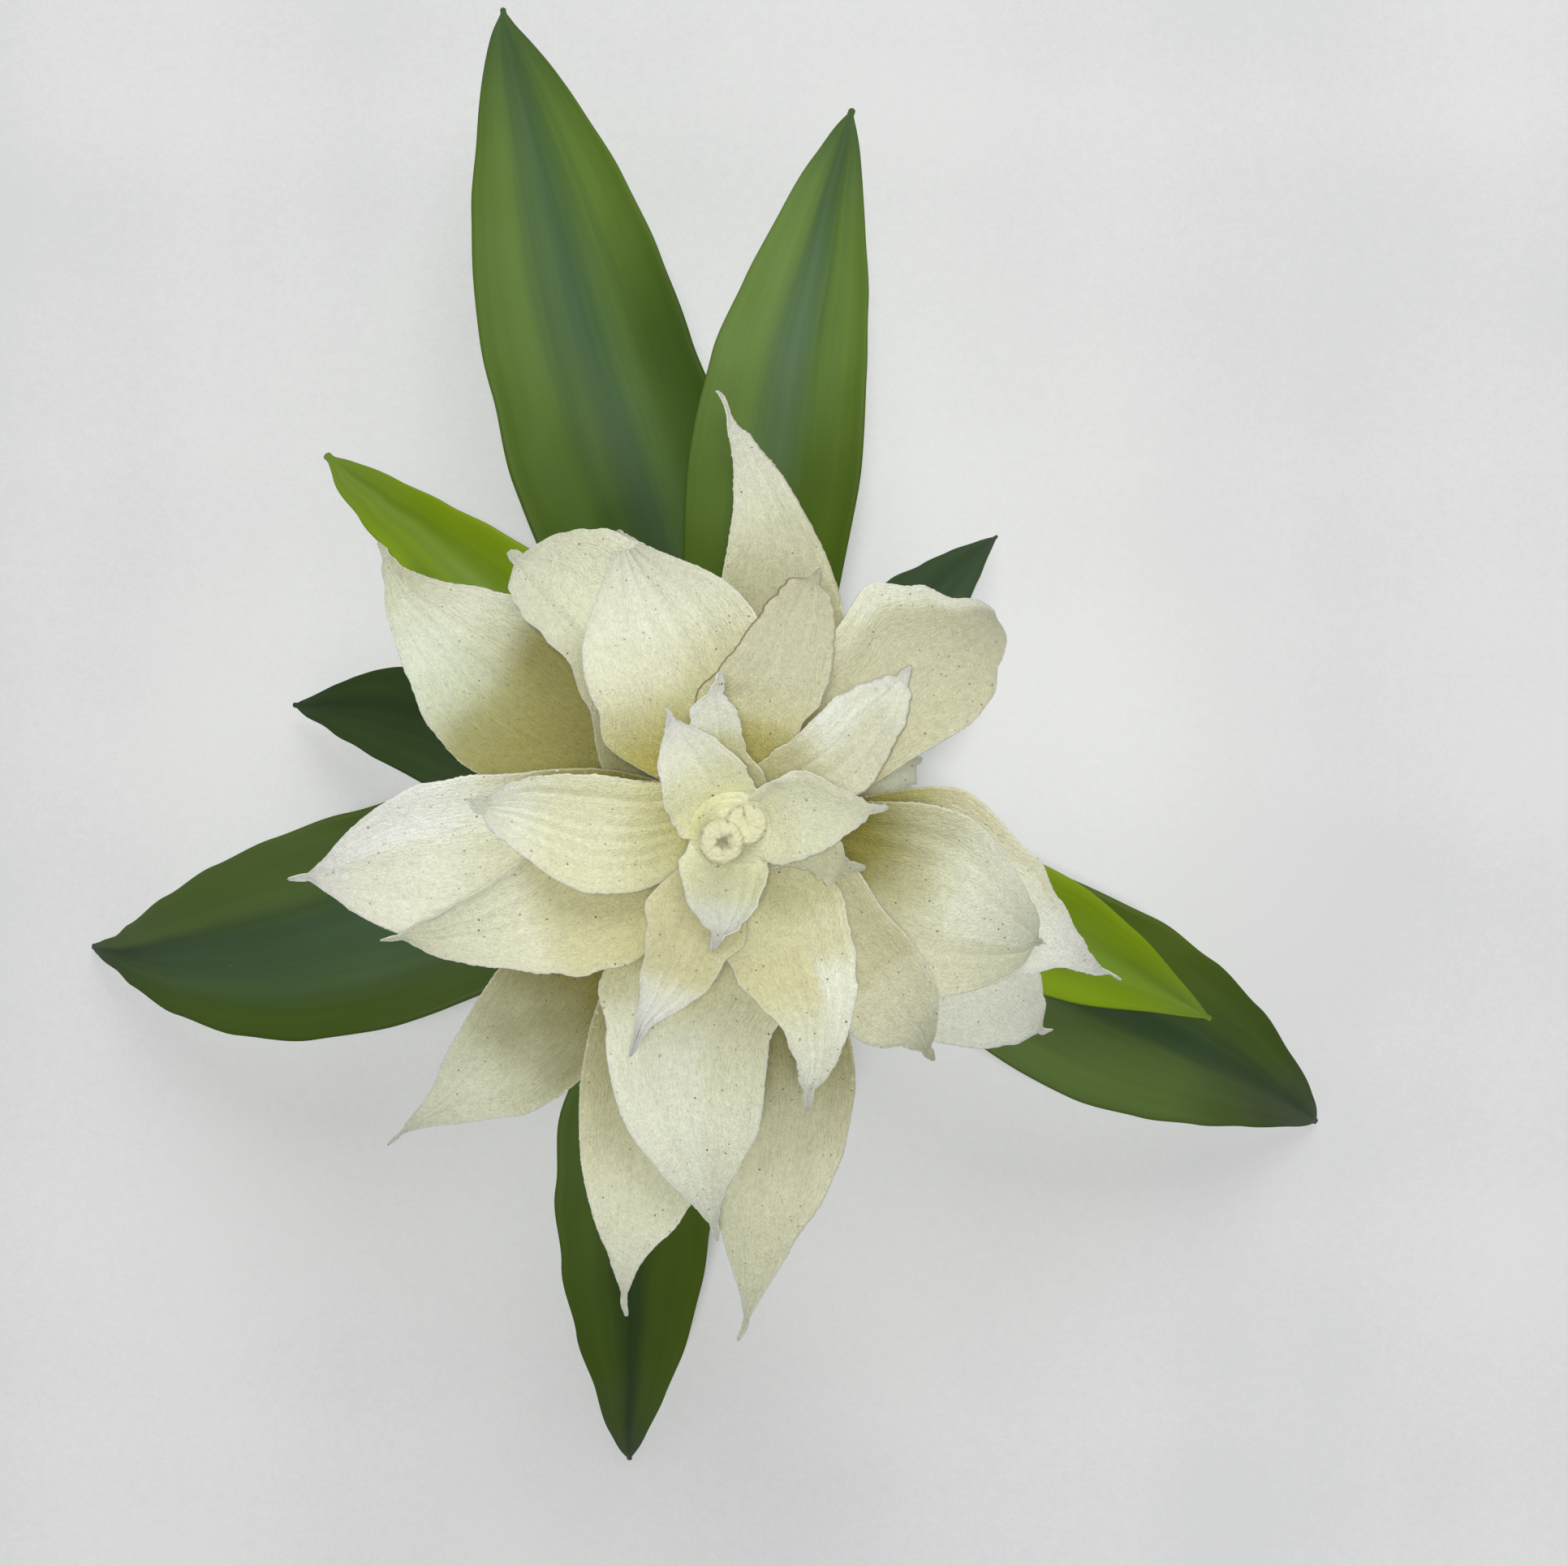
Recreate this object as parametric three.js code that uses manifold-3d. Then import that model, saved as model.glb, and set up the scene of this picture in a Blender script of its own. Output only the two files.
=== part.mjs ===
// A bromeliad without its pot, standing on the cut foot of its stock. Nine strap leaves clasp the stock in a
// loose rosette. Above them the flower spike carries a head of pointed bracts in whorls, the longest at the
// bottom, and ends in two closed buds.
// Millimetres and degrees, +Z up. The origin is the middle of the foot. Azimuths run counterclockwise
// from +X.
import * as THREE from "three";
import { mergeVertices } from "three/addons/utils/BufferGeometryUtils.js";
import Module from "manifold-3d";

// ---- The stem: stock, neck and spike, one piece that tapers from the foot to the tip ----

// Each station is [radius, height].
const STEM_STATIONS = [
  [17, 1.5],
  [17, 12],
  [15.5, 28],
  [13, 44],
  [10, 60],
  [8, 78],
  [7, 104],
  [6.4, 130],
  [5.6, 160],
  [4.8, 190],
  [4, 203],
];
const FOOT_RADIUS = 15.5;
const STEM_TOP = { shoulder: 2.6, height: 206 };
const STEM_SIDES = 28;

// ---- Blades: what all leaves and bracts share ----

const SEAT_GAP = 0.3; // between the stem and the inner face of a blade's root
const LARGEST_CLASP = 56; // half the angle that a root takes round the stem where it has room
const SEAM = 2; // left free between neighbouring roots of one whorl, as an angle
const CLASP_SHARE = 0.3; // how far along a blade its clasp has opened into the trough
const HOOK_START = 0.55; // where the hook of a blade's tip begins

// A leaf's or a bract's outline: where it is widest, how full and how tapered the part beyond that is, and
// the spur at its tip, as a share of the length and as half widths.
const LEAF_OUTLINE = { widest: 0.52, fullness: 1.8, taper: 1, spur: 0.03, spurRoot: 1.6, spurTip: 0.8 };
const BRACT_OUTLINE = { widest: 0.55, fullness: 1.9, taper: 1.1, spur: 0.09, spurRoot: 1.3, spurTip: 0.6 };

// ---- The nine leaves ----

const LEAF_THICKNESS = 1.2;
const LEAF_ROWS = 15;
const LEAF_COLUMNS = 6;

// azimuth and height are the root's, rise is the pitch at the root and fall the pitch at the tip, bend sets
// how early the pitch changes, turn is the sideways swing along the blade, hook the swing of its last part
// alone, and trough half the angle of the cross-section's arc.
const LEAVES = [
  { name: "low_left", azimuth: 165, height: 12, length: 136, width: 39, rise: 48, fall: -42, turn: 6 },
  { name: "low_right", azimuth: 51, height: 12, length: 106, width: 30, rise: 50, fall: -48, turn: -10 },
  { name: "low_front", azimuth: 254, height: 12, length: 209, width: 45, rise: 56, fall: -50, turn: 18 },
  { name: "mid_back", azimuth: 110, height: 22, length: 242, width: 54, rise: 46, fall: -32, turn: -20, hook: 14 },
  { name: "mid_left", azimuth: 198, height: 24, length: 218, width: 59, rise: 52, fall: -54, turn: -22 },
  { name: "mid_right", azimuth: 332, height: 23, length: 207, width: 55, rise: 52, fall: -54, turn: 10, hook: -18 },
  { name: "high_back", azimuth: 86, height: 33, length: 197, width: 46, rise: 60, fall: -28, turn: -14 },
  { name: "high_right", azimuth: 340, height: 33, length: 136, width: 34, rise: 56, fall: -26, turn: -12 },
  { name: "high_left", azimuth: 143, height: 43, length: 145, width: 35, rise: 50, fall: -20, turn: -12 },
];
const LEAF_CLASP = 40;
const LEAF_TROUGH = 24;
const LEAF_BEND = 0.8;

// ---- The bracts, in whorls from the bottom of the head to the top ----

const BRACT_THICKNESS = 1;
const BRACT_ROWS = 11;
const BRACT_COLUMNS = 6;
const BRACT_TROUGH = 26;
const BRACT_BEND = 0.9;

// Each whorl has its height, width and rise, and a bract may have its own instead.
const WHORLS = [
  {
    height: 112, width: 40, rise: 50,
    bracts: [
      { side: "back", azimuth: 75, length: 112, fall: -30, turn: 36, hook: 30, width: 34, taper: 1.7 },
      { side: "left", azimuth: 222, length: 112, fall: -22, turn: 0, width: 38 },
      { side: "right", azimuth: 326, length: 96, fall: -52, turn: -4 },
    ],
  },
  {
    height: 122, width: 42, rise: 48,
    bracts: [
      { side: "left", azimuth: 150, length: 107, fall: -30, turn: -26, rise: 38 },
      { side: "front", azimuth: 279, length: 118, fall: -14, turn: -22, width: 39, taper: 1.4 },
      { side: "right", azimuth: 19, length: 45, fall: -60, turn: 0, width: 30 },
    ],
  },
  {
    height: 132, width: 40, rise: 52,
    bracts: [
      { side: "left", azimuth: 127, length: 85, fall: -44, turn: 12, rise: 58 },
      { side: "front", azimuth: 252, length: 112, fall: -14, turn: 14 },
      { side: "right", azimuth: 342, length: 99, fall: -45, turn: -14, rise: 44 },
    ],
  },
  {
    height: 143, width: 39, rise: 50,
    bracts: [
      { side: "right", azimuth: 39, length: 98, fall: -88, turn: -12, width: 35 },
      { side: "left", azimuth: 187, length: 98, fall: -20, turn: 0 },
    ],
  },
  {
    height: 154, width: 37, rise: 54,
    bracts: [
      { side: "back", azimuth: 109, length: 79, fall: -66, turn: 12 },
      { side: "front", azimuth: 259, length: 91, fall: -30, turn: 26 },
      { side: "right", azimuth: 339, length: 80, fall: -64, turn: 0 },
    ],
  },
  {
    height: 165, width: 30, rise: 56,
    bracts: [
      { side: "back", azimuth: 75, length: 57, fall: -38, turn: -10, width: 28 },
      { side: "left", azimuth: 201, length: 77, fall: -18, turn: -10 },
      { side: "right", azimuth: 314, length: 67, fall: -45, turn: -12 },
    ],
  },
  {
    height: 176, width: 26, rise: 58,
    bracts: [
      { side: "right", azimuth: 37, length: 48, fall: -30, turn: 18 },
      { side: "left", azimuth: 178, length: 54, fall: -22, turn: -14 },
      { side: "front", azimuth: 292, length: 59, fall: -22, turn: -24 },
    ],
  },
  {
    height: 186, width: 18, rise: 62,
    bracts: [
      { side: "back", azimuth: 94, length: 30, fall: 0, turn: 0 },
      { side: "front", azimuth: 247, length: 48, fall: -20, turn: 0, rise: 56 },
      { side: "right", azimuth: 341, length: 25, fall: -10, turn: 0 },
    ],
  },
  {
    height: 195, width: 19, rise: 70,
    bracts: [
      { side: "back", azimuth: 118, length: 26, fall: -28, turn: 0 },
      { side: "right", azimuth: 8, length: 30, fall: -20, turn: 0 },
      { side: "front", azimuth: 261, length: 22, fall: -25, turn: 0 },
    ],
  },
];

// ---- The two buds on the tip of the spike, grown together ----

const BUD_BASE = STEM_TOP.height + SEAT_GAP;
const BUD_WAIST = 0.8; // the radius of a bud's base as a share of its own
const BUD_SIDES = 20;
const BUDS = [
  { x: -1.6, y: -1.9, height: 12, radius: 4.1 },
  { x: 3.0, y: 1.3, height: 10.5, radius: 3.8 },
];

// ---- Materials ----

const leafGreen = (hex) => new THREE.MeshStandardMaterial({ color: hex, roughness: 0.4, metalness: 0 });
const DARK_LEAF = leafGreen(0x2f4a24);
const MID_LEAF = leafGreen(0x587433);
const YOUNG_LEAF = leafGreen(0x7d9a25);
const STOCK = new THREE.MeshStandardMaterial({ color: 0x8c9a5c, roughness: 0.6, metalness: 0 });
const BRACT = new THREE.MeshStandardMaterial({ color: 0xe3e4cc, roughness: 0.6, metalness: 0 });
const BUD = new THREE.MeshStandardMaterial({ color: 0xdad9a8, roughness: 0.6, metalness: 0 });

// ---- Shapes ----

const wasm = await Module();
wasm.setup();

const radians = THREE.MathUtils.degToRad;
const smooth = THREE.MathUtils.smoothstep;
const mix = THREE.MathUtils.lerp;
const sinc = (x) => (Math.abs(x) < 1e-6 ? 1 : Math.sin(x) / x);

/** The stem's radius at a height. */
function stemRadius(height) {
  const above = STEM_STATIONS.findIndex(([, z]) => z >= height);
  const [r0, z0] = STEM_STATIONS[above - 1];
  const [r1, z1] = STEM_STATIONS[above];
  return mix(r0, r1, (height - z0) / (z1 - z0));
}

/** Half the width of a blade at a share s of its length, from the half width of its root. */
function halfWidth(s, width, rootHalf, outline) {
  const spurStart = 1 - outline.spur;
  const spur = mix(outline.spurRoot, outline.spurTip, smooth(s, spurStart, 1));
  if (s <= outline.widest) {
    return mix(rootHalf, width / 2, Math.sin((Math.PI / 2) * (s / outline.widest)));
  }
  const x = Math.min(1, (s - outline.widest) / (spurStart - outline.widest));
  return Math.max(spur, (width / 2) * (1 - x ** outline.fullness) ** outline.taper);
}

/** The points, tangents and headings of a blade's midline, one for each row. */
function midline(blade, rows, start) {
  const STEPS = 12; // fine steps of the sum between two rows
  const point = start.clone();
  const line = [];
  for (let i = 0; i <= rows * STEPS; i++) {
    const s = i / (rows * STEPS);
    const pitch = radians(mix(blade.rise, blade.fall, s ** blade.bend));
    const swing = blade.turn * s * s + (blade.hook ?? 0) * smooth(s, HOOK_START, 1);
    const heading = radians(blade.azimuth + swing);
    const along = new THREE.Vector3(
      Math.cos(pitch) * Math.cos(heading),
      Math.cos(pitch) * Math.sin(heading),
      Math.sin(pitch),
    );
    if (i % STEPS === 0) line.push({ s, point: point.clone(), along, heading });
    point.addScaledVector(along, blade.length / (rows * STEPS));
  }
  return line;
}

/**
 * One leaf or bract as a closed solid. Its root clasps the stem, and then its cross-section opens into a
 * shallow trough. Both faces are split into triangles along the same diagonals, so they never cross.
 */
function bladeGeometry(blade, outline, rows, columns) {
  const half = blade.thickness / 2;
  const rootRadius = stemRadius(blade.height) + SEAT_GAP + half;
  const rootHalf = rootRadius * radians(blade.clasp);
  const out = radians(blade.azimuth);
  const start = new THREE.Vector3(rootRadius * Math.cos(out), rootRadius * Math.sin(out), blade.height);
  const upper = [];
  const lower = [];
  for (const { s, point, along, heading } of midline(blade, rows, start)) {
    const side = new THREE.Vector3(-Math.sin(heading), Math.cos(heading), 0);
    const inward = new THREE.Vector3().crossVectors(along, side);
    const wide = halfWidth(s, blade.width, rootHalf, outline);
    const arc = radians(mix(blade.clasp, blade.trough, smooth(s, 0, CLASP_SHARE)));
    for (let j = 0; j <= columns; j++) {
      const u = (2 * j) / columns - 1;
      const middle = point
        .clone()
        .addScaledVector(side, wide * u * sinc(arc * u))
        .addScaledVector(inward, ((wide * arc * u * u) / 2) * sinc((arc * u) / 2) ** 2);
      const normal = inward
        .clone()
        .multiplyScalar(Math.cos(arc * u))
        .addScaledVector(side, -Math.sin(arc * u));
      upper.push(middle.clone().addScaledVector(normal, half));
      lower.push(middle.clone().addScaledVector(normal, -half));
    }
  }
  return closedSheet(upper, lower, rows, columns);
}

/** Joins two grids of points, row by row, into one closed solid. */
function closedSheet(upper, lower, rows, columns) {
  const top = (i, j) => i * (columns + 1) + j;
  const under = (i, j) => upper.length + top(i, j);
  const index = [];
  const quad = (a, b, c, d) => index.push(a, b, c, a, c, d);
  for (let i = 0; i < rows; i++) {
    for (let j = 0; j < columns; j++) {
      index.push(top(i, j), top(i + 1, j), top(i + 1, j + 1));
      index.push(top(i, j), top(i + 1, j + 1), top(i, j + 1));
      index.push(under(i, j), under(i + 1, j + 1), under(i + 1, j));
      index.push(under(i, j), under(i, j + 1), under(i + 1, j + 1));
    }
    quad(top(i + 1, 0), top(i, 0), under(i, 0), under(i + 1, 0));
    quad(top(i, columns), top(i + 1, columns), under(i + 1, columns), under(i, columns));
  }
  for (let j = 0; j < columns; j++) {
    quad(top(0, j), top(0, j + 1), under(0, j + 1), under(0, j));
    quad(top(rows, j + 1), top(rows, j), under(rows, j), under(rows, j + 1));
  }
  return new THREE.BufferGeometry().setFromPoints([...upper, ...lower]).setIndex(index);
}

function named(name, geometry, material) {
  const mesh = new THREE.Mesh(geometry, material);
  mesh.name = name;
  return mesh;
}

/** The stock, neck and spike as one turned solid with a flat foot. */
function stem() {
  const profile = [[0, 0], [FOOT_RADIUS, 0], ...STEM_STATIONS];
  profile.push([STEM_TOP.shoulder, STEM_TOP.height], [0, STEM_TOP.height]);
  const points = profile.map(([r, z]) => new THREE.Vector2(r, z));
  const turned = new THREE.LatheGeometry(points, STEM_SIDES).rotateX(Math.PI / 2);
  return named("stem", turned, STOCK);
}

function leafMaterial({ name }) {
  if (name === "high_left" || name === "high_right") return YOUNG_LEAF;
  return name.startsWith("low") ? DARK_LEAF : MID_LEAF;
}

function leaves() {
  const group = new THREE.Group();
  for (const leaf of LEAVES) {
    const shared = { thickness: LEAF_THICKNESS, clasp: LEAF_CLASP, trough: LEAF_TROUGH, bend: LEAF_BEND };
    const geometry = bladeGeometry({ ...shared, ...leaf }, LEAF_OUTLINE, LEAF_ROWS, LEAF_COLUMNS);
    group.add(named(`leaf_${leaf.name}`, geometry, leafMaterial(leaf)));
  }
  return group;
}

/** The angle between two azimuths, 0 to 180 degrees. */
function between(a, b) {
  return Math.abs(THREE.MathUtils.euclideanModulo(a - b + 180, 360) - 180);
}

/** Half the angle of a bract's clasp: what its nearer neighbour in the whorl leaves it. */
function claspIn(ring, bract) {
  const others = ring.filter((other) => other !== bract);
  const nearest = Math.min(...others.map((other) => between(other.azimuth, bract.azimuth)));
  return Math.min(LARGEST_CLASP, (nearest - SEAM) / 2);
}

function bracts() {
  const group = new THREE.Group();
  WHORLS.forEach(({ bracts: ring, ...whorl }, i) => {
    for (const bract of ring) {
      const shared = { thickness: BRACT_THICKNESS, trough: BRACT_TROUGH, bend: BRACT_BEND };
      const blade = { ...shared, clasp: claspIn(ring, bract), ...whorl, ...bract };
      const outline = { ...BRACT_OUTLINE, taper: bract.taper ?? BRACT_OUTLINE.taper };
      const name = `bract_${i + 1}_${bract.side}`;
      group.add(named(name, bladeGeometry(blade, outline, BRACT_ROWS, BRACT_COLUMNS), BRACT));
    }
  });
  return group;
}

/** A turned mesh as a solid, its shared points merged. */
function solidOf(geometry) {
  geometry.deleteAttribute("normal");
  geometry.deleteAttribute("uv");
  const merged = mergeVertices(geometry);
  const vertProperties = new Float32Array(merged.attributes.position.array);
  const triVerts = new Uint32Array(merged.index.array);
  return new wasm.Manifold(new wasm.Mesh({ numProp: 3, vertProperties, triVerts }));
}

/** One bud as a solid: a short rod with a rounded top. */
function bud({ x, y, height, radius }) {
  const outline = new THREE.Shape().moveTo(0, 0).lineTo(radius * BUD_WAIST, 0);
  outline.lineTo(radius, height - radius).absarc(0, height - radius, radius, 0, Math.PI / 2, false);
  const turned = new THREE.LatheGeometry(outline.getPoints(4), BUD_SIDES).rotateX(Math.PI / 2);
  return solidOf(turned.translate(x, y, BUD_BASE));
}

/** The two buds, grown together, on the tip of the spike. */
function budPair() {
  const { vertProperties, triVerts } = bud(BUDS[0]).add(bud(BUDS[1])).getMesh();
  const geometry = new THREE.BufferGeometry();
  geometry.setAttribute("position", new THREE.BufferAttribute(vertProperties, 3));
  geometry.setIndex(new THREE.BufferAttribute(triVerts, 1));
  return named("bud_pair", geometry, BUD);
}

const bromeliad = new THREE.Group();
bromeliad.add(stem(), leaves(), bracts(), budPair());

export default bromeliad;
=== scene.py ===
"""A bromeliad without its pot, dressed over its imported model.

The stock stands on its cut foot. Nine strap leaves clasp it, and the spike above them carries a head
of pointed cream bracts in nine whorls and ends in two closed buds. Every blade is one sheet laid along
a curving midline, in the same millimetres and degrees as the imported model, and each piece stands for
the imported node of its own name.
"""

import logging
import math
from dataclasses import dataclass
from enum import Enum

import bmesh
import bpy
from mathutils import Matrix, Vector, noise


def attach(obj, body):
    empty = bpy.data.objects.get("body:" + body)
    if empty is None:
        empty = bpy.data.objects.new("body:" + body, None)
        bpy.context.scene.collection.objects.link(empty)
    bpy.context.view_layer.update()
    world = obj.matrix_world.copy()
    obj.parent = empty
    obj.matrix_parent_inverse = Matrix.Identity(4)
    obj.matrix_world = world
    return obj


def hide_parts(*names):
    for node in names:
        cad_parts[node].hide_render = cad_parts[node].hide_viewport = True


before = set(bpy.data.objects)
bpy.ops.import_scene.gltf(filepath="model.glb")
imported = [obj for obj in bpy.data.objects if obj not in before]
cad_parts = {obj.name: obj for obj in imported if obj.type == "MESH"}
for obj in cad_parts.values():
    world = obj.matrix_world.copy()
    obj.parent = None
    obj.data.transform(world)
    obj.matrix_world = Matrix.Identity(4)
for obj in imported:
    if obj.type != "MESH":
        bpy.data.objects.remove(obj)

LOG = logging.getLogger("bromeliad")
MM = 0.001  # one millimetre, in the scene's metres
MERGE = 1e-6  # how near two points are merged, in metres
SEAT_GAP = 0.3  # between the stem and a root, in millimetres, as the lengths below
HOOK_START = 0.55  # the share of a blade's length where its hook begins
CLASP_SHARE = 0.3  # the share of a blade's length over which its clasp opens
SPUR_LENGTH = 3.2  # of a bract
TIP_ROUND = 0.8  # how far from its very end a blade's tip is rounded
RAG_CELL = 3.4  # how much margin one swing of its ragged line takes
CRUMB_CELL = 0.85  # and one of its finest roughness
QUILT_LENGTH = 16  # how much of a blade's length one swell takes
QUILT_WIDTH = 9  # and how much of its width
WAVE_CELL = 22  # how much margin one slow wave takes
FULL_RELIEF = 9  # half the width from which a blade's ridges stand out fully

Colour = tuple[float, float, float]
Table = tuple[tuple[float, float], ...]  # rows of a place along a blade and a value
Row = dict[str, object]  # what is a bract's own, by the names of its fields
Node = bpy.types.Node
Socket = bpy.types.NodeSocket
Material = bpy.types.Material


# ---- Small sums ----


def srgb(red: int, green: int, blue: int) -> Colour:
    """A colour given as 0 to 255 for the screen, as linear light.

    Args:
        red: The red channel.
        green: The green channel.
        blue: The blue channel.

    Returns:
        The three linear channels.
    """

    def linear(channel: int) -> float:
        """One channel as linear light."""
        share = channel / 255
        return share / 12.92 if share <= 0.04045 else ((share + 0.055) / 1.055) ** 2.4

    return linear(red), linear(green), linear(blue)


def mix(low: float, high: float, share: float) -> float:
    """The value at a share of the way from low to high."""
    return low + (high - low) * share


def smooth(value: float, low: float, high: float) -> float:
    """Rises softly from 0 at low to 1 at high."""
    x = max(0.0, min(1.0, (value - low) / (high - low)))
    return x * x * (3 - 2 * x)


def between(value: float, low: float, high: float, soft: float) -> float:
    """1 from low to high, falling softly to 0 over the distance soft on each side."""
    return smooth(value, low - soft, low) * (1 - smooth(value, high, high + soft))


def sinc(angle: float) -> float:
    """The sine of an angle over the angle."""
    return 1.0 if abs(angle) < 1e-6 else math.sin(angle) / angle


def table(*numbers: float) -> Table:
    """Rows of a place, given in hundredths of the length, and the value there."""
    return tuple((place / 100, value) for place, value in zip(numbers[::2], numbers[1::2]))


def shares(*numbers: float) -> Table:
    """Rows of a place and a share, both given in hundredths."""
    return tuple((place, value / 100) for place, value in table(*numbers))


def along_table(rows: Table, s: float) -> float:
    """The value of a table at a place, eased between its rows and level beyond them.

    Args:
        rows: The table, in the order of its places.
        s: The place.

    Returns:
        The value.
    """
    if s <= rows[0][0]:
        return rows[0][1]
    for (s0, v0), (s1, v1) in zip(rows, rows[1:]):
        if s <= s1:
            return mix(v0, v1, smooth(s, s0, s1))
    return rows[-1][1]


def ripple(x: float, y: float, seed: float) -> float:
    """Soft noise from -1 to 1 at a place on a sheet."""
    return noise.noise(Vector((x, y, seed)))


def ripple_round(turn: float, cells: float, seed: float) -> float:
    """Soft noise from -1 to 1 round a circle, without a seam."""
    return ripple(cells * math.cos(turn), cells * math.sin(turn), seed)


def wander(x: float, seed: float) -> float:
    """Noise from -1 to 1 along a line, with finer noise on it."""
    return 0.6 * ripple(x, 0.37, seed) + 0.4 * ripple(2.3 * x, 5.1, seed + 9.0)


# ---- Nodes and the groups that several finishes share ----


class Wiring:
    """Places nodes in one tree and joins them."""

    def __init__(self, tree: bpy.types.NodeTree) -> None:
        """Takes the tree that the nodes go into."""
        self.tree = tree

    def put(self, socket: Socket, value: object) -> None:
        """Joins a socket to another one, or sets a plain value on it.

        Args:
            socket: The socket.
            value: The other socket, a number, or a colour or vector of three.
        """
        if isinstance(value, Socket):
            self.tree.links.new(value, socket)
        elif isinstance(value, tuple) and socket.type == "RGBA":
            socket.default_value = (*value, 1.0)
        else:
            socket.default_value = value

    def node(self, kind: str, inputs: dict[str | int, object] | None = None, **settings: object) -> Node:
        """Adds one node.

        Args:
            kind: The node's type.
            inputs: Values or sockets for its inputs, by name or place.
            settings: The node's own settings.

        Returns:
            The node.
        """
        made = self.tree.nodes.new(kind)
        for name, value in settings.items():
            setattr(made, name, value)
        for name, value in (inputs or {}).items():
            self.put(made.inputs[name], value)
        return made

    def math(self, operation: str, *values: object, clamp: bool = False) -> Socket:
        """One sum on one to three values, and its result, kept between 0 and 1 if asked."""
        inputs = dict(enumerate(values))
        return self.node("ShaderNodeMath", inputs, operation=operation, use_clamp=clamp).outputs[0]

    def times(self, first: object, second: object) -> Socket:
        """The product of two values."""
        return self.math("MULTIPLY", first, second)

    def plus(self, value: object, factor: float, base: object) -> Socket:
        """A value times a factor, added to a base."""
        return self.math("MULTIPLY_ADD", value, factor, base)

    def stir(self, base: object, noise_value: object, amount: float) -> Socket:
        """A base moved up and down by a noise whose middle is 0.5."""
        return self.plus(self.math("SUBTRACT", noise_value, 0.5), amount, base)

    def ease(self, value: object, low: float, high: float, start: float = 0.0, end: float = 1.0) -> Socket:
        """A value that goes softly from start at low to end at high."""
        inputs = {"Value": value, "From Min": low, "From Max": high, "To Min": start, "To Max": end}
        return self.node("ShaderNodeMapRange", inputs, interpolation_type="SMOOTHSTEP").outputs["Result"]

    def blend(self, share: object, first: object, second: object, kind: str = "MIX") -> Socket:
        """Two colours mixed by a share, or by another blending kind."""
        inputs = {"Factor": share, 6: first, 7: second}
        settings = {"data_type": "RGBA", "blend_type": kind, "clamp_factor": True}
        return self.node("ShaderNodeMix", inputs, **settings).outputs[2]

    def toned(self, colour: object, tone: Socket) -> Socket:
        """A colour made lighter or darker by a factor."""
        shade = self.node("ShaderNodeCombineColor", {"Red": tone, "Green": tone, "Blue": tone})
        return self.blend(1.0, colour, shade.outputs["Color"], "MULTIPLY")

    def noise(self, vector: object, scale: object, detail: float = 2.0, roughness: float = 0.5) -> Socket:
        """Noise of a scale, in cells to the metre or to the unit of its vector."""
        inputs = {"Vector": vector, "Scale": scale, "Detail": detail, "Roughness": roughness}
        return self.node("ShaderNodeTexNoise", inputs).outputs["Fac"]

    def parts(self, vector: object) -> bpy.types.NodeOutputs:
        """The X, Y and Z of a vector."""
        return self.node("ShaderNodeSeparateXYZ", {"Vector": vector}).outputs


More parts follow.
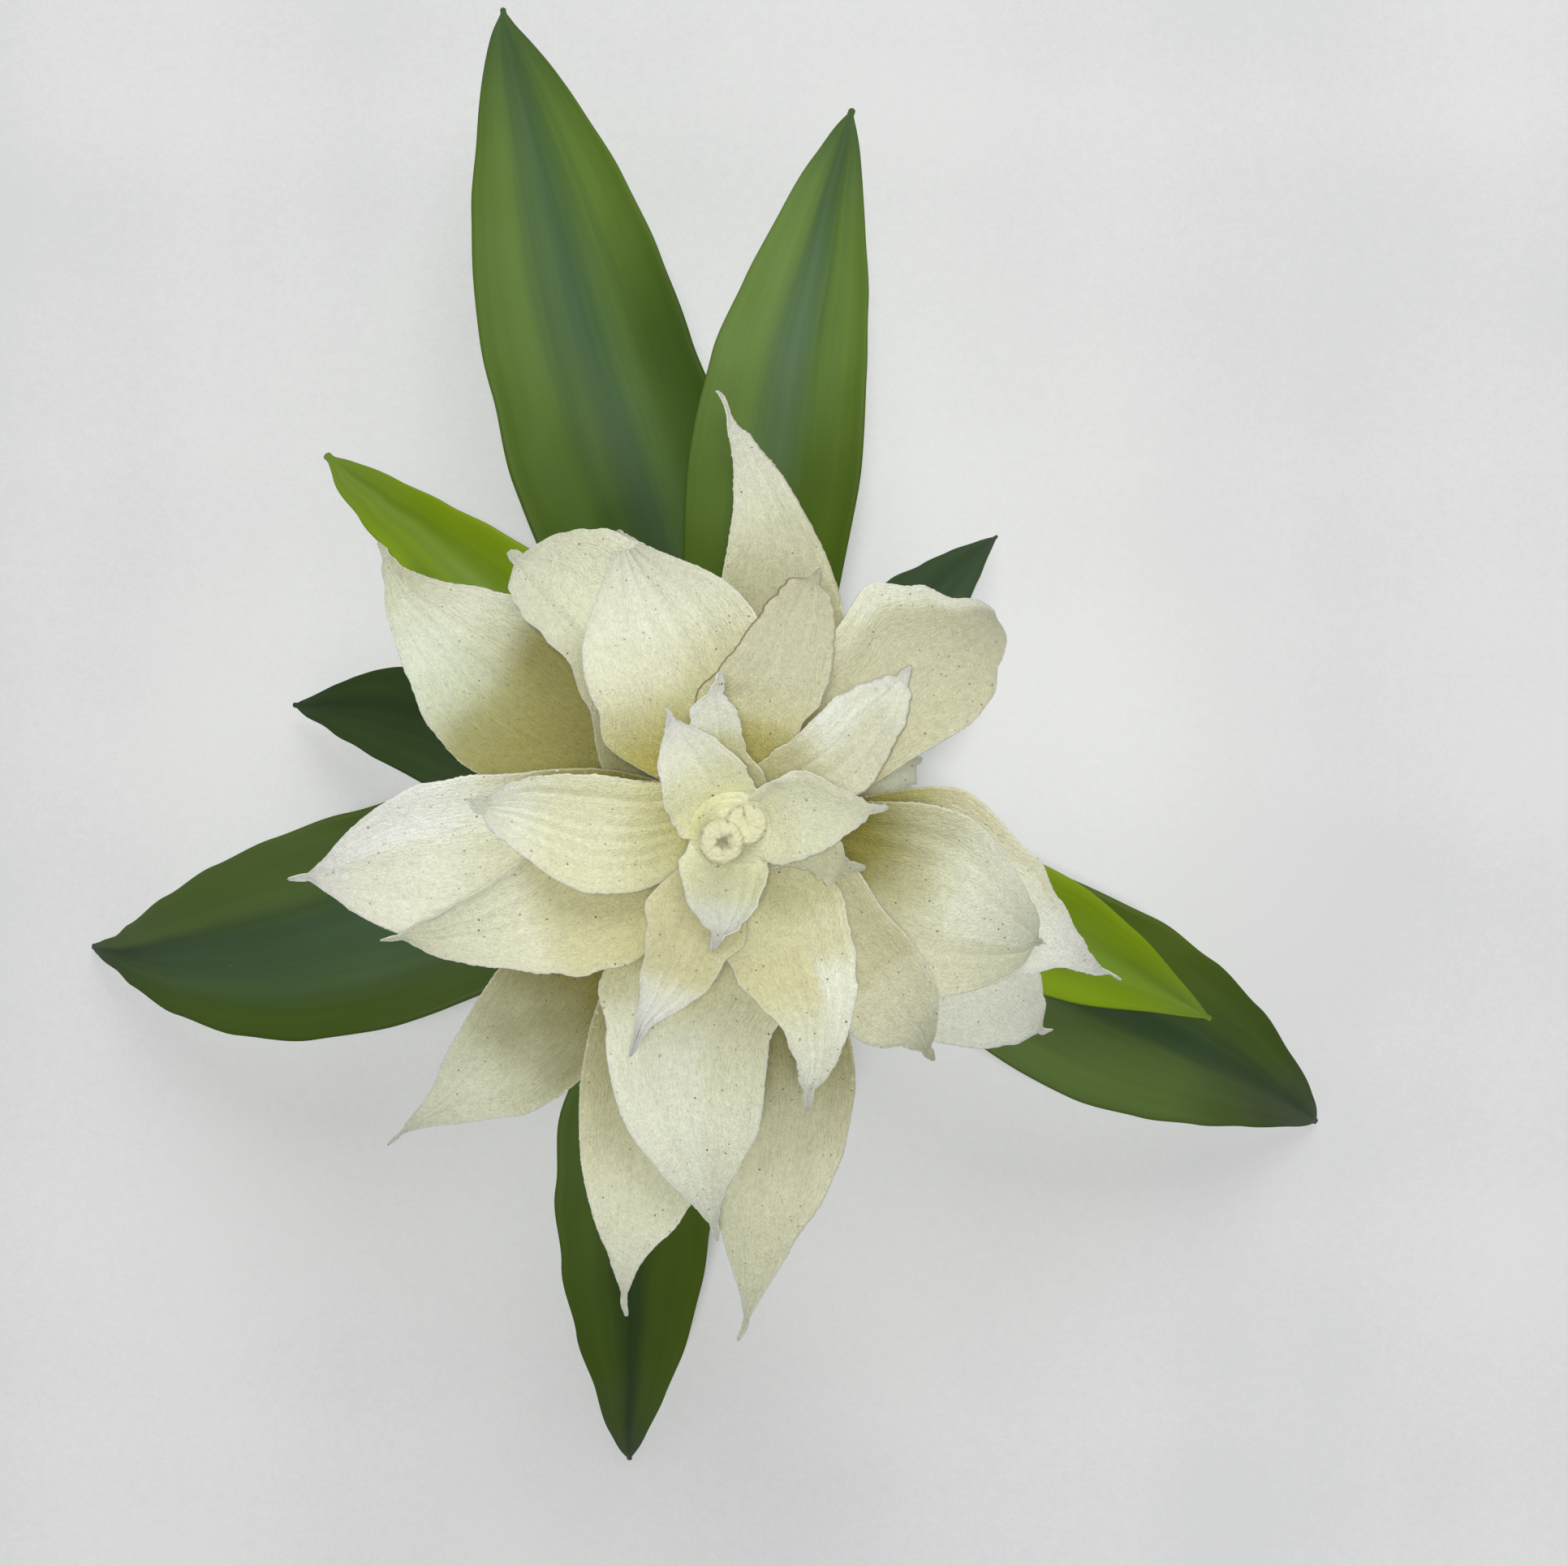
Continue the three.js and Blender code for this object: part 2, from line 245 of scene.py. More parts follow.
class Effects:
    """The node groups that several finishes place with their own values."""

    def __init__(self) -> None:
        """Builds each group once."""
        self.grain = self._grain()
        self.streaks = self._streaks()
        self.dust = self._dust()
        self.margin = self._margin()
        self.clouds = self._clouds()

    @staticmethod
    def _open(name: str, outputs: tuple[str, ...], **inputs: float | None) -> tuple[Wiring, object, object]:
        """Makes an empty group.

        Args:
            name: The group's name.
            outputs: The names of its outputs, each a value.
            inputs: The default of each of its values, or None for a vector.

        Returns:
            The wiring of the group, its inputs and its outputs, each by name.
        """
        tree = bpy.data.node_groups.new(name, "ShaderNodeTree")
        for label, value in inputs.items():
            kind = "NodeSocketVector" if value is None else "NodeSocketFloat"
            socket = tree.interface.new_socket(name=label, in_out="INPUT", socket_type=kind)
            if value is not None:
                socket.default_value = value
        for label in outputs:
            tree.interface.new_socket(name=label, in_out="OUTPUT", socket_type="NodeSocketFloat")
        wiring = Wiring(tree)
        return wiring, wiring.node("NodeGroupInput").outputs, wiring.node("NodeGroupOutput").inputs

    def _grain(self) -> bpy.types.NodeTree:
        """Fine even grain, such as that of a foam sheet: a value round 0.5.

        Returns:
            The group.
        """
        wiring, given, out = self._open("Fine grain", ("Value",), Vector=None, Cells=1500.0)
        fine = wiring.noise(given["Vector"], given["Cells"], 3.0)
        coarse = wiring.noise(given["Vector"], wiring.times(given["Cells"], 0.31))
        wiring.put(out["Value"], wiring.plus(fine, 0.65, wiring.times(coarse, 0.35)))
        return wiring.tree

    def _streaks(self) -> bpy.types.NodeTree:
        """Long soft streaks that run with a blade and meet at its tip.

        Returns:
            The group.
        """
        wiring, given, out = self._open(
            "Blade streaks", ("Value", "Lines"), UV=None, Seed=0.0, Lengthwise=1.6, Crosswise=18.0
        )
        parts = wiring.parts(given["UV"])
        stretched = {
            "X": wiring.times(parts["X"], given["Lengthwise"]),
            "Y": wiring.times(parts["Y"], given["Crosswise"]),
            "Z": given["Seed"],
        }
        place = wiring.node("ShaderNodeCombineXYZ", stretched).outputs["Vector"]
        streak = wiring.noise(place, 1.0, 4.0, 0.6)
        wiring.put(out["Value"], streak)
        off_middle = wiring.math("ABSOLUTE", wiring.math("SUBTRACT", streak, 0.5))
        wiring.put(out["Lines"], wiring.ease(off_middle, 0.0, 0.035, 1.0, 0.0))
        return wiring.tree

    def _dust(self) -> bpy.types.NodeTree:
        """Scattered tiny specks, a share of the cells of a given spacing.

        Returns:
            The group.
        """
        defaults = {"Cells": 300.0, "Size": 0.05, "Share": 0.4}
        wiring, given, out = self._open("Dust specks", ("Mask",), Vector=None, **defaults)
        spaced = {"Vector": given["Vector"], "Scale": given["Cells"]}
        cells = wiring.node("ShaderNodeTexVoronoi", spaced).outputs
        draw = wiring.node("ShaderNodeSeparateColor", {"Color": cells["Color"]}).outputs
        size = wiring.times(given["Size"], wiring.math("ADD", 0.4, draw["Green"]))
        inside = wiring.math("LESS_THAN", cells["Distance"], size)
        kept = wiring.math("LESS_THAN", draw["Red"], given["Share"])
        wiring.put(out["Mask"], wiring.times(inside, kept))
        return wiring.tree

    def _margin(self) -> bpy.types.NodeTree:
        """How near a place is to the margin: 1 on it and 0 beyond the reach, both in millimetres.

        Returns:
            The group.
        """
        wiring, given, out = self._open("Blade margin", ("Mask",), Distance=0.0, Reach=1.0)
        share = wiring.math("DIVIDE", given["Distance"], given["Reach"])
        wiring.put(out["Mask"], wiring.ease(share, 0.0, 1.0, 1.0, 0.0))
        return wiring.tree

    def _clouds(self) -> bpy.types.NodeTree:
        """Slow variation of tone over a surface: a value round 0.5."""
        wiring, given, out = self._open("Slow clouds", ("Value",), Vector=None, Cells=30.0)
        wiring.put(out["Value"], wiring.noise(given["Vector"], given["Cells"]))
        return wiring.tree


class Paint(Wiring):
    """One material with its Principled shader, and short names for the shared effects on it."""

    def __init__(self, name: str, effects: Effects, **settings: float | Colour) -> None:
        """Starts the material.

        Args:
            name: The material's name.
            effects: The shared node groups.
            settings: Plain values for the shader's own sockets, with _ for a space.
        """
        self.material = bpy.data.materials.new(name)
        self.material.use_nodes = True
        super().__init__(self.material.node_tree)
        self.tree.nodes.clear()
        self.effects = effects
        self.shader = self.node("ShaderNodeBsdfPrincipled")
        for label, value in settings.items():
            self.put(self.shader.inputs[label.replace("_", " ")], value)
        self.node("ShaderNodeOutputMaterial", {"Surface": self.shader.outputs["BSDF"]})
        place = self.node("ShaderNodeTexCoord").outputs
        self.spot = place["Object"]
        self.uv = place["UV"]

    def attribute(self, name: str, output: str = "Fac") -> Socket:
        """Reads one of the piece's own attributes."""
        made = self.node("ShaderNodeAttribute", attribute_name=name, attribute_type="GEOMETRY")
        return made.outputs[output]

    def effect(self, group: bpy.types.NodeTree, **inputs: object) -> bpy.types.NodeOutputs:
        """Places a node group with its own values, and gives its outputs."""
        return self.node("ShaderNodeGroup", inputs, node_tree=group).outputs

    def stretched(self, x: float, y: float, z: float) -> Socket:
        """The place on the piece with each axis multiplied."""
        inputs = {0: self.spot, 1: (x, y, z)}
        return self.node("ShaderNodeVectorMath", inputs, operation="MULTIPLY").outputs[0]

    def grain(self, cells: float, vector: Socket | None = None) -> Socket:
        """Fine grain, in cells to the metre."""
        return self.effect(self.effects.grain, Vector=vector or self.spot, Cells=cells)["Value"]

    def cloud(self, cells: float, vector: Socket | None = None) -> Socket:
        """Slow clouds, in cells to the metre."""
        return self.effect(self.effects.clouds, Vector=vector or self.spot, Cells=cells)["Value"]

    def specks(self, cells: float, size: float, share: float) -> Socket:
        """Scattered specks in a share of the cells, each up to a size in cells."""
        return self.effect(self.effects.dust, Vector=self.spot, Cells=cells, Size=size, Share=share)["Mask"]

    def streaks(self, lengthwise: float, crosswise: float) -> bpy.types.NodeOutputs:
        """Streaks along the blade, in cells to its length and to its width."""
        cells = {"Lengthwise": lengthwise, "Crosswise": crosswise}
        return self.effect(self.effects.streaks, UV=self.uv, Seed=self.attribute("seed"), **cells)

    def rim(self, reach: float) -> Socket:
        """1 on the blade's margin, and 0 from a reach in millimetres on."""
        return self.effect(self.effects.margin, Distance=self.attribute("edge_mm"), Reach=reach)["Mask"]

    def under_tinges_and_painted_light(self, colour: Socket) -> Socket:
        """A colour under the blade's tinges and painted light."""
        return self.blend(self.attribute("tinge", "Alpha"), colour, self.attribute("tinge", "Color"))

    def skin(
        self, colour: Socket, rough: Socket, height: Socket, bump: float, depth: float = 0.0005
    ) -> Material:
        """Joins what is painted to the shader.

        Args:
            colour: The colour.
            rough: The roughness.
            height: The relief.
            bump: How strong the relief is.
            depth: How deep it is, in metres.

        Returns:
            The material.
        """
        relief = self.node("ShaderNodeBump", {"Height": height, "Strength": bump, "Distance": depth})
        joined = {"Base Color": colour, "Roughness": rough, "Normal": relief.outputs["Normal"]}
        for label, value in joined.items():
            self.put(self.shader.inputs[label], value)
        return self.material


# ---- Finishes ----


@dataclass(frozen=True)
class BractFinish:
    """Cream foam sheet: whitest near the tips; towards the roots their own yellow carries painted shade in
    the folds, and the lower whorls are painted darker and more olive as shade.
    """

    bright: Colour = srgb(239, 241, 216)
    # The lower whorls' colour: painted shade.
    low_whorl_shade: Colour = srgb(224, 226, 198)
    # The roots' colour in the folds: their own yellow with painted shade.
    root: Colour = srgb(214, 204, 106)
    # Painted deep olive shade in the root folds of the lower whorls.
    low_whorl_root_shade: Colour = srgb(122, 117, 42)
    # Pale crumbs along the margin, and a painted highlight on the cut edge.
    edge_crumb_and_highlight: Colour = srgb(234, 234, 218)
    stain: Colour = srgb(128, 104, 70)
    speck: Colour = srgb(96, 84, 58)

    def material(self, effects: Effects) -> Material:
        """Builds the finish.

        Args:
            effects: The shared node groups.

        Returns:
            The material.
        """
        paint = Paint(
            "Bract foam", effects, Roughness=0.5, Specular_IOR_Level=0.5, Subsurface_Weight=0.3,
            Subsurface_Scale=0.003, Subsurface_Radius=(1.0, 0.95, 0.5),
        )
        age = paint.attribute("age")
        along = paint.parts(paint.uv)["X"]
        grain = paint.grain(2100.0)
        cloud = paint.cloud(45.0)
        streak = paint.streaks(1.3, 16.0)
        fibre = paint.streaks(14.0, 70.0)["Value"]
        fleck = paint.streaks(60.0, 105.0)["Value"]

        # Painted shade in the root folds, reaching further and darker on the lower whorls, which are also
        # painted darker all over.
        depth = paint.plus(age, -0.4, paint.stir(along, cloud, 0.25))
        root_fold_shade_share = paint.times(
            paint.ease(depth, 0.08, 0.45, 1.0, 0.0), paint.math("MULTIPLY_ADD", age, 1.6, 0.86, clamp=True)
        )
        root_fold_shade = paint.blend(paint.math("MULTIPLY", age, 1.9, clamp=True), self.root, self.low_whorl_root_shade)
        colour = paint.under_tinges_and_painted_light(paint.blend(root_fold_shade_share, paint.blend(age, self.bright, self.low_whorl_shade), root_fold_shade))

        # Pale crumbs near the margin, and a painted highlight in a band along it.
        rim = paint.rim(0.5)
        flakes = paint.times(paint.specks(1100.0, 0.3, 0.35), paint.rim(2.4))
        colour = paint.blend(paint.plus(flakes, 0.5, paint.times(rim, 0.35)), colour, self.edge_crumb_and_highlight)
        colour = paint.blend(paint.times(rim, paint.attribute("stain")), colour, self.stain)
        tone = paint.stir(paint.stir(paint.stir(1.0, grain, 0.75), fleck, 0.5), fibre, 0.15)
        colour = paint.toned(colour, paint.plus(streak["Lines"], -0.035, tone))
        crumbs = paint.times(paint.specks(700.0, 0.15, 0.2), 0.5)
        dirt = paint.plus(paint.specks(450.0, 0.085, 0.4), 0.85, crumbs)

        height = paint.plus(fleck, 0.8, paint.plus(fibre, 0.4, grain))
        height = paint.plus(streak["Value"], 0.6, height)
        rough = paint.ease(grain, 0.3, 0.7, 0.36, 0.56)
        return paint.skin(paint.blend(dirt, colour, self.speck), rough, height, 0.8)


@dataclass(frozen=True)
class LeafFinish:
    """Satin leaf: a darker bluish band along the midrib, painted channel shade and sky reflection, greener
    sides, olive margins, a darker tip, and painted shade at the root where the bracts shade it.
    """

    slot: str
    name: str
    # Painted shade of the midrib's channel, with a painted bluish sky reflection.
    midrib_shade_and_reflection: Colour
    side: Colour
    margin: Colour
    # Painted shade at the root, where the bracts shade the leaf.
    root: Colour
    tip: Colour
    root_shade_reach: float  # how far along the leaf its painted root shade goes
    midrib_shade_and_reflection_share: float  # how strong the painted midrib shade and reflection is
    speck: Colour = srgb(150, 160, 140)

    def material(self, effects: Effects) -> Material:
        """Builds the finish.

        Args:
            effects: The shared node groups.

        Returns:
            The material.
        """
        paint = Paint(self.name, effects, Roughness=0.5, Specular_IOR_Level=0.12)
        place = paint.parts(paint.uv)
        off_rib = paint.math("ABSOLUTE", paint.plus(place["Y"], 2.0, -1.0))
        cloud = paint.cloud(22.0)
        streak = paint.streaks(1.1, 9.0)["Value"]
        fine = paint.streaks(2.2, 55.0)["Value"]

        # Painted channel shade and sky reflection along the midrib.
        midrib_shade_and_reflection = paint.ease(paint.stir(off_rib, streak, 0.5), 0.0, 0.62, self.midrib_shade_and_reflection_share, 0.0)
        rim = paint.ease(paint.stir(off_rib, cloud, 0.5), 0.5, 1.0, 0.0, 0.8)
        colour = paint.blend(rim, paint.blend(midrib_shade_and_reflection, self.side, self.midrib_shade_and_reflection), self.margin)
        colour = paint.under_tinges_and_painted_light(paint.blend(paint.ease(place["X"], 0.74, 1.0, 0.0, 0.8), colour, self.tip))
        # Painted shade at the root, where the bracts shade the leaf.
        root_at = paint.plus(off_rib, 0.16, paint.stir(place["X"], cloud, 0.4))
        root = paint.ease(root_at, self.root_shade_reach - 0.25, self.root_shade_reach + 0.14, 0.95, 0.0)
        colour = paint.blend(root, colour, self.root)

        tone = paint.stir(paint.stir(1.0, streak, 0.4), fine, 0.1)
        colour = paint.toned(colour, paint.times(tone, paint.plus(paint.attribute("age"), -0.58, 1.0)))
        colour = paint.blend(paint.times(paint.specks(110.0, 0.03, 0.12), 0.35), colour, self.speck)
        rough = paint.ease(cloud, 0.3, 0.7, 0.44, 0.56)
        return paint.skin(colour, rough, paint.plus(fine, 0.25, streak), 0.18)


class LeafTone(Enum):
    """The three kinds of leaf, each with its finish."""

    DARK = LeafFinish(
        "leaf_dark", "Leaf dark", midrib_shade_and_reflection=srgb(40, 58, 28), side=srgb(62, 82, 26), margin=srgb(60, 80, 20),
        root=srgb(24, 40, 2), tip=srgb(40, 56, 28), root_shade_reach=0.3, midrib_shade_and_reflection_share=0.85,
    )
    MID = LeafFinish(
        "leaf_mid", "Leaf mid", midrib_shade_and_reflection=srgb(66, 92, 62), side=srgb(92, 118, 50), margin=srgb(82, 106, 34),
        root=srgb(14, 34, 4), tip=srgb(64, 86, 50), root_shade_reach=0.38, midrib_shade_and_reflection_share=0.85,
    )
    YOUNG = LeafFinish(
        "leaf_young", "Leaf young", midrib_shade_and_reflection=srgb(104, 131, 48), side=srgb(106, 131, 10),
        margin=srgb(116, 141, 12), root=srgb(62, 82, 0), tip=srgb(104, 128, 48),
        root_shade_reach=0.5, midrib_shade_and_reflection_share=0.6,
    )


@dataclass(frozen=True)
class StockFinish:
    """The stem's skin: brown and fibrous at the cut foot, green on the stock, cream up the spike."""

    foot: Colour = srgb(150, 132, 92)
    stock: Colour = srgb(138, 152, 92)
    spike: Colour = srgb(206, 208, 150)
    scar: Colour = srgb(104, 100, 62)

    def material(self, effects: Effects) -> Material:
        """Builds the finish.

        Args:
            effects: The shared node groups.

        Returns:
            The material.
        """
        paint = Paint("Stem skin", effects, Roughness=0.6, Specular_IOR_Level=0.35)
        grain = paint.grain(900.0, paint.stretched(1.0, 1.0, 0.12))
        level = paint.stir(paint.parts(paint.spot)["Z"], paint.cloud(120.0), 0.03)
        colour = paint.blend(paint.ease(level, 0.002, 0.03), self.foot, self.stock)
        colour = paint.blend(paint.ease(level, 0.06, 0.15), colour, self.spike)
        colour = paint.blend(paint.times(paint.attribute("scar"), 0.7), colour, self.scar)
        colour = paint.toned(colour, paint.stir(1.0, grain, 0.6))
        return paint.skin(colour, paint.ease(grain, 0.3, 0.7, 0.5, 0.72), grain, 0.5, 0.0006)


@dataclass(frozen=True)
class BudFinish:
    """Bud skin: waxy pale yellow, with a mottled and pitted crown."""

    flank: Colour = srgb(232, 232, 176)
    crown: Colour = srgb(213, 211, 170)
    grey: Colour = srgb(212, 208, 170)
    mottle: Colour = srgb(120, 117, 82)

    def material(self, effects: Effects) -> Material:
        """Builds the finish.

        Args:
            effects: The shared node groups.

        Returns:
            The material.
        """
        paint = Paint(
            "Bud skin", effects, Roughness=0.5, Specular_IOR_Level=0.4, Subsurface_Weight=0.1,
            Subsurface_Scale=0.002,
        )
        grain = paint.grain(1500.0)
        crown = paint.attribute("crown")
        colour = paint.blend(crown, self.flank, self.crown)
        colour = paint.blend(paint.attribute("grey"), colour, self.grey)
        spread = paint.stir(paint.attribute("mottle"), paint.cloud(380.0), 2.2)
        colour = paint.blend(paint.ease(spread, 0.15, 1.0, 0.0, 0.8), colour, self.mottle)
        specks = paint.times(paint.times(paint.specks(900.0, 0.1, 0.25), crown), 0.7)
        colour = paint.blend(specks, colour, self.mottle)
        return paint.skin(colour, paint.ease(grain, 0.3, 0.7, 0.42, 0.62), grain, 0.7)


@dataclass(frozen=True)
class FloorFinish:
    """Plain pale backing, with hardly any change of tone, the faint bands of old folds, and a painted pool
    of light round the middle.
    """

    pale: Colour = srgb(222, 223, 222)
    shade: Colour = srgb(213, 214, 214)
    # A painted pool of light round the middle.
    painted_light_pool: Colour = srgb(250, 251, 248)

    def material(self, effects: Effects) -> Material:
        """Builds the finish.

        Args:
            effects: The shared node groups.

        Returns:
            The material.
        """
        paint = Paint("Pale floor", effects, Roughness=0.9, Specular_IOR_Level=0.15)
        bands = [paint.cloud(10.0, paint.stretched(*axes)) for axes in ((1.0, 0.04, 1.0), (0.04, 1.0, 1.0))]
        share = paint.plus(paint.math("ADD", *bands), 0.36, paint.times(paint.cloud(9.0), 0.28))
        share = paint.stir(share, paint.grain(900.0), 0.35)
        colour = paint.blend(paint.ease(share, 0.38, 0.62), self.pale, self.shade)
        # Painted pool of light, fading out from the middle.
        reach = paint.node("ShaderNodeVectorMath", {0: paint.spot}, operation="LENGTH").outputs["Value"]
        colour = paint.blend(paint.ease(reach, 0.08, 0.22, 0.35, 0.0), colour, self.painted_light_pool)
        paint.put(paint.shader.inputs["Base Color"], colour)
        return paint.material


# ---- Pieces ----


def piece_from(shape: bmesh.types.BMesh, name: str) -> bpy.types.Object:
    """Turns a worked shape into an object of the scene.

    Args:
        shape: The shape, which is freed.
        name: The name of the object and its mesh.

    Returns:
        The object.
    """
    mesh = bpy.data.meshes.new(name)
    shape.to_mesh(mesh)
    shape.free()
    piece = bpy.data.objects.new(name, mesh)
    bpy.context.scene.collection.objects.link(piece)
    return piece


def settle(piece: bpy.types.Object, material: Material, node: str) -> None:
    """Dresses a piece, puts it in the frame and reports it.

    Args:
        piece: The piece.
        material: Its finish.
        node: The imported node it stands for.
    """
    piece.data.materials.append(material)
    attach(piece, "root")
    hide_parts(node)
    LOG.info("%s stands for %s, %d faces before its thickness", piece.name, node, len(piece.data.polygons))


# ---- Blades: what leaves and bracts share ----


@dataclass(frozen=True)
class Outline:
    """A blade's outline: where it is widest, how full and tapered it is beyond, and the spur at its tip."""

    widest: float
    fullness: float
    taper: float
    spur: float  # the spur's share of the length
    spur_root: float  # half its width at its root and its tip, in millimetres
    spur_tip: float

    def half_width(self, s: float, width: float, root_half: float) -> float:
        """Half the blade's width.

        Args:
            s: The share of the length from the root.
            width: The full width.
            root_half: Half the width at the root.

        Returns:
            The half width, in the units of width.
        """
        if s <= self.widest:
            return mix(root_half, width / 2, math.sin(math.pi / 2 * s / self.widest))
        spur_start = 1 - self.spur
        spur = mix(self.spur_root, self.spur_tip, smooth(s, spur_start, 1.0))
        x = min(1.0, (s - self.widest) / (spur_start - self.widest))
        return max(spur, width / 2 * (1 - x**self.fullness) ** self.taper)


@dataclass(frozen=True)
class Ridge:
    """A rib or a crease that runs lengthwise: height is negative for a crease."""

    at: float  # across the blade, -1 to 1
    breadth: float
    height: float
    start: float = 0.05
    end: float = 0.9

    def lift(self, s: float, u: float) -> float:
        """How far it lifts the sheet at a place, in millimetres."""
        swell = math.exp(-(((u - self.at) / self.breadth) ** 2))
        return self.height * swell * between(s, self.start, self.end, 0.12)


@dataclass(frozen=True)
class Lip:
    """A stretch of one margin that turns up or down."""

    side: int  # 1 for the left margin, seen from the root, and -1 for the right one
    start: float
    end: float
    rise: float
    reach: float

    def lift(self, s: float, u: float) -> float:
        """How far it lifts the sheet at a place, in millimetres."""
        curl = smooth(self.side * u, 1 - self.reach, 1.0) ** 1.5
        return self.rise * curl * between(s, self.start, self.end, 0.1)


@dataclass(frozen=True)
class TintAndLightPatch:
    """A patch of another colour on a blade. Some are its own tints; others are painted light: highlights,
    glow and shade.
    """

    colour: Colour
    strength: float
    start: float
    end: float
    low: float = -1.0  # its place across the blade, -1 to 1
    high: float = 1.0
    soft: float = 0.2

    def share(self, s: float, u: float) -> float:
        """How strong it is at a place."""
        across = between(u, self.low, self.high, 1.4 * self.soft)
        return self.strength * between(s, self.start, self.end, self.soft) * across


@dataclass(frozen=True)
class Stain:
    """A brown line on a stretch of one margin."""

    side: int
    start: float
    end: float
    strength: float

    def share(self, s: float, u: float) -> float:
        """How strong it is at a place."""
        return self.strength * (self.side * u > 0) * between(s, self.start, self.end, 0.04)


def folds(*rows: tuple[float, ...]) -> tuple[Ridge, ...]:
    """Ridges and creases, with their numbers in hundredths."""
    return tuple(Ridge(*(number / 100 for number in row)) for row in rows)


def patches_of_tint_and_light(*rows: tuple[Colour | float, ...]) -> tuple[TintAndLightPatch, ...]:
    """Patches of own tint and of painted light, with the numbers after the colour in hundredths."""
    return tuple(TintAndLightPatch(colour, *(number / 100 for number in numbers)) for colour, *numbers in rows)


class Sheet:
    """A grid that is laid vertex by vertex, with what the finishes read from it."""

    def __init__(self, rows: int, columns: int) -> None:
        """Makes the flat grid, with its layers.

        Args:
            rows: How many steps it has along the sheet.
            columns: How many it has across.
        """
        self.grid = bmesh.new()
        layers = self.grid.verts.layers
        self.uv = self.grid.loops.layers.uv.new("UVMap")
        self.edge = layers.float.new("edge_mm")
        self.stain = layers.float.new("stain")
        self.tinge = layers.float_color.new("tinge")
        self.weights = layers.deform.verify()
        self.places: dict[bmesh.types.BMVert, tuple[float, float]] = {}
        bmesh.ops.create_grid(self.grid, x_segments=rows, y_segments=columns, size=1.0)

    def lay(
        self, vert: bmesh.types.BMVert, point: Vector, place: tuple[float, float], inset: float, firm: float
    ) -> None:
        """Puts one vertex where it belongs.

        Args:
            vert: The vertex.
            point: Its point, in millimetres.
            place: Its place on the UV map.
            inset: How far it lies from the margin.
            firm: How far from the margin the sheet has its full thickness.
        """
        vert.co = point * MM
        vert[self.edge] = inset
        vert[self.weights][0] = smooth(inset, 0.0, firm)
        self.places[vert] = place

    def finish(
        self, name: str, seed: float, age: float, thickness: float, thin: float, ring: bool = False
    ) -> bpy.types.Object:
        """Turns the laid sheet into a piece with a thickness.

        Args:
            name: The piece's name.
            seed: The piece's own number, for the noise of its finish.
            age: How much darker its finish is painted: on the bracts, painted shade that deepens down the
                head; on the leaves, a plain darkening.
            thickness: Its thickness in the middle, in millimetres.
            thin: The thickness of its margin as a share of that.
            ring: Whether its two sides meet and are joined.

        Returns:
            The piece, without a material.
        """
        for face in self.grid.faces:
            face.smooth = True
            for loop in face.loops:
                loop[self.uv].uv = self.places[loop.vert]
        if ring:
            bmesh.ops.remove_doubles(self.grid, verts=self.grid.verts, dist=MERGE)
        piece = piece_from(self.grid, name)
        for label, value in (("seed", seed), ("age", age)):
            layer = piece.data.attributes.new(label, "FLOAT", "POINT")
            layer.data.foreach_set("value", [value] * len(piece.data.vertices))
        wall = piece.modifiers.new("Thickness", "SOLIDIFY")
        wall.thickness = thickness * MM
        wall.offset = 0.0
        wall.vertex_group = piece.vertex_groups.new(name="middle").name
        wall.thickness_vertex_group = thin
        return piece


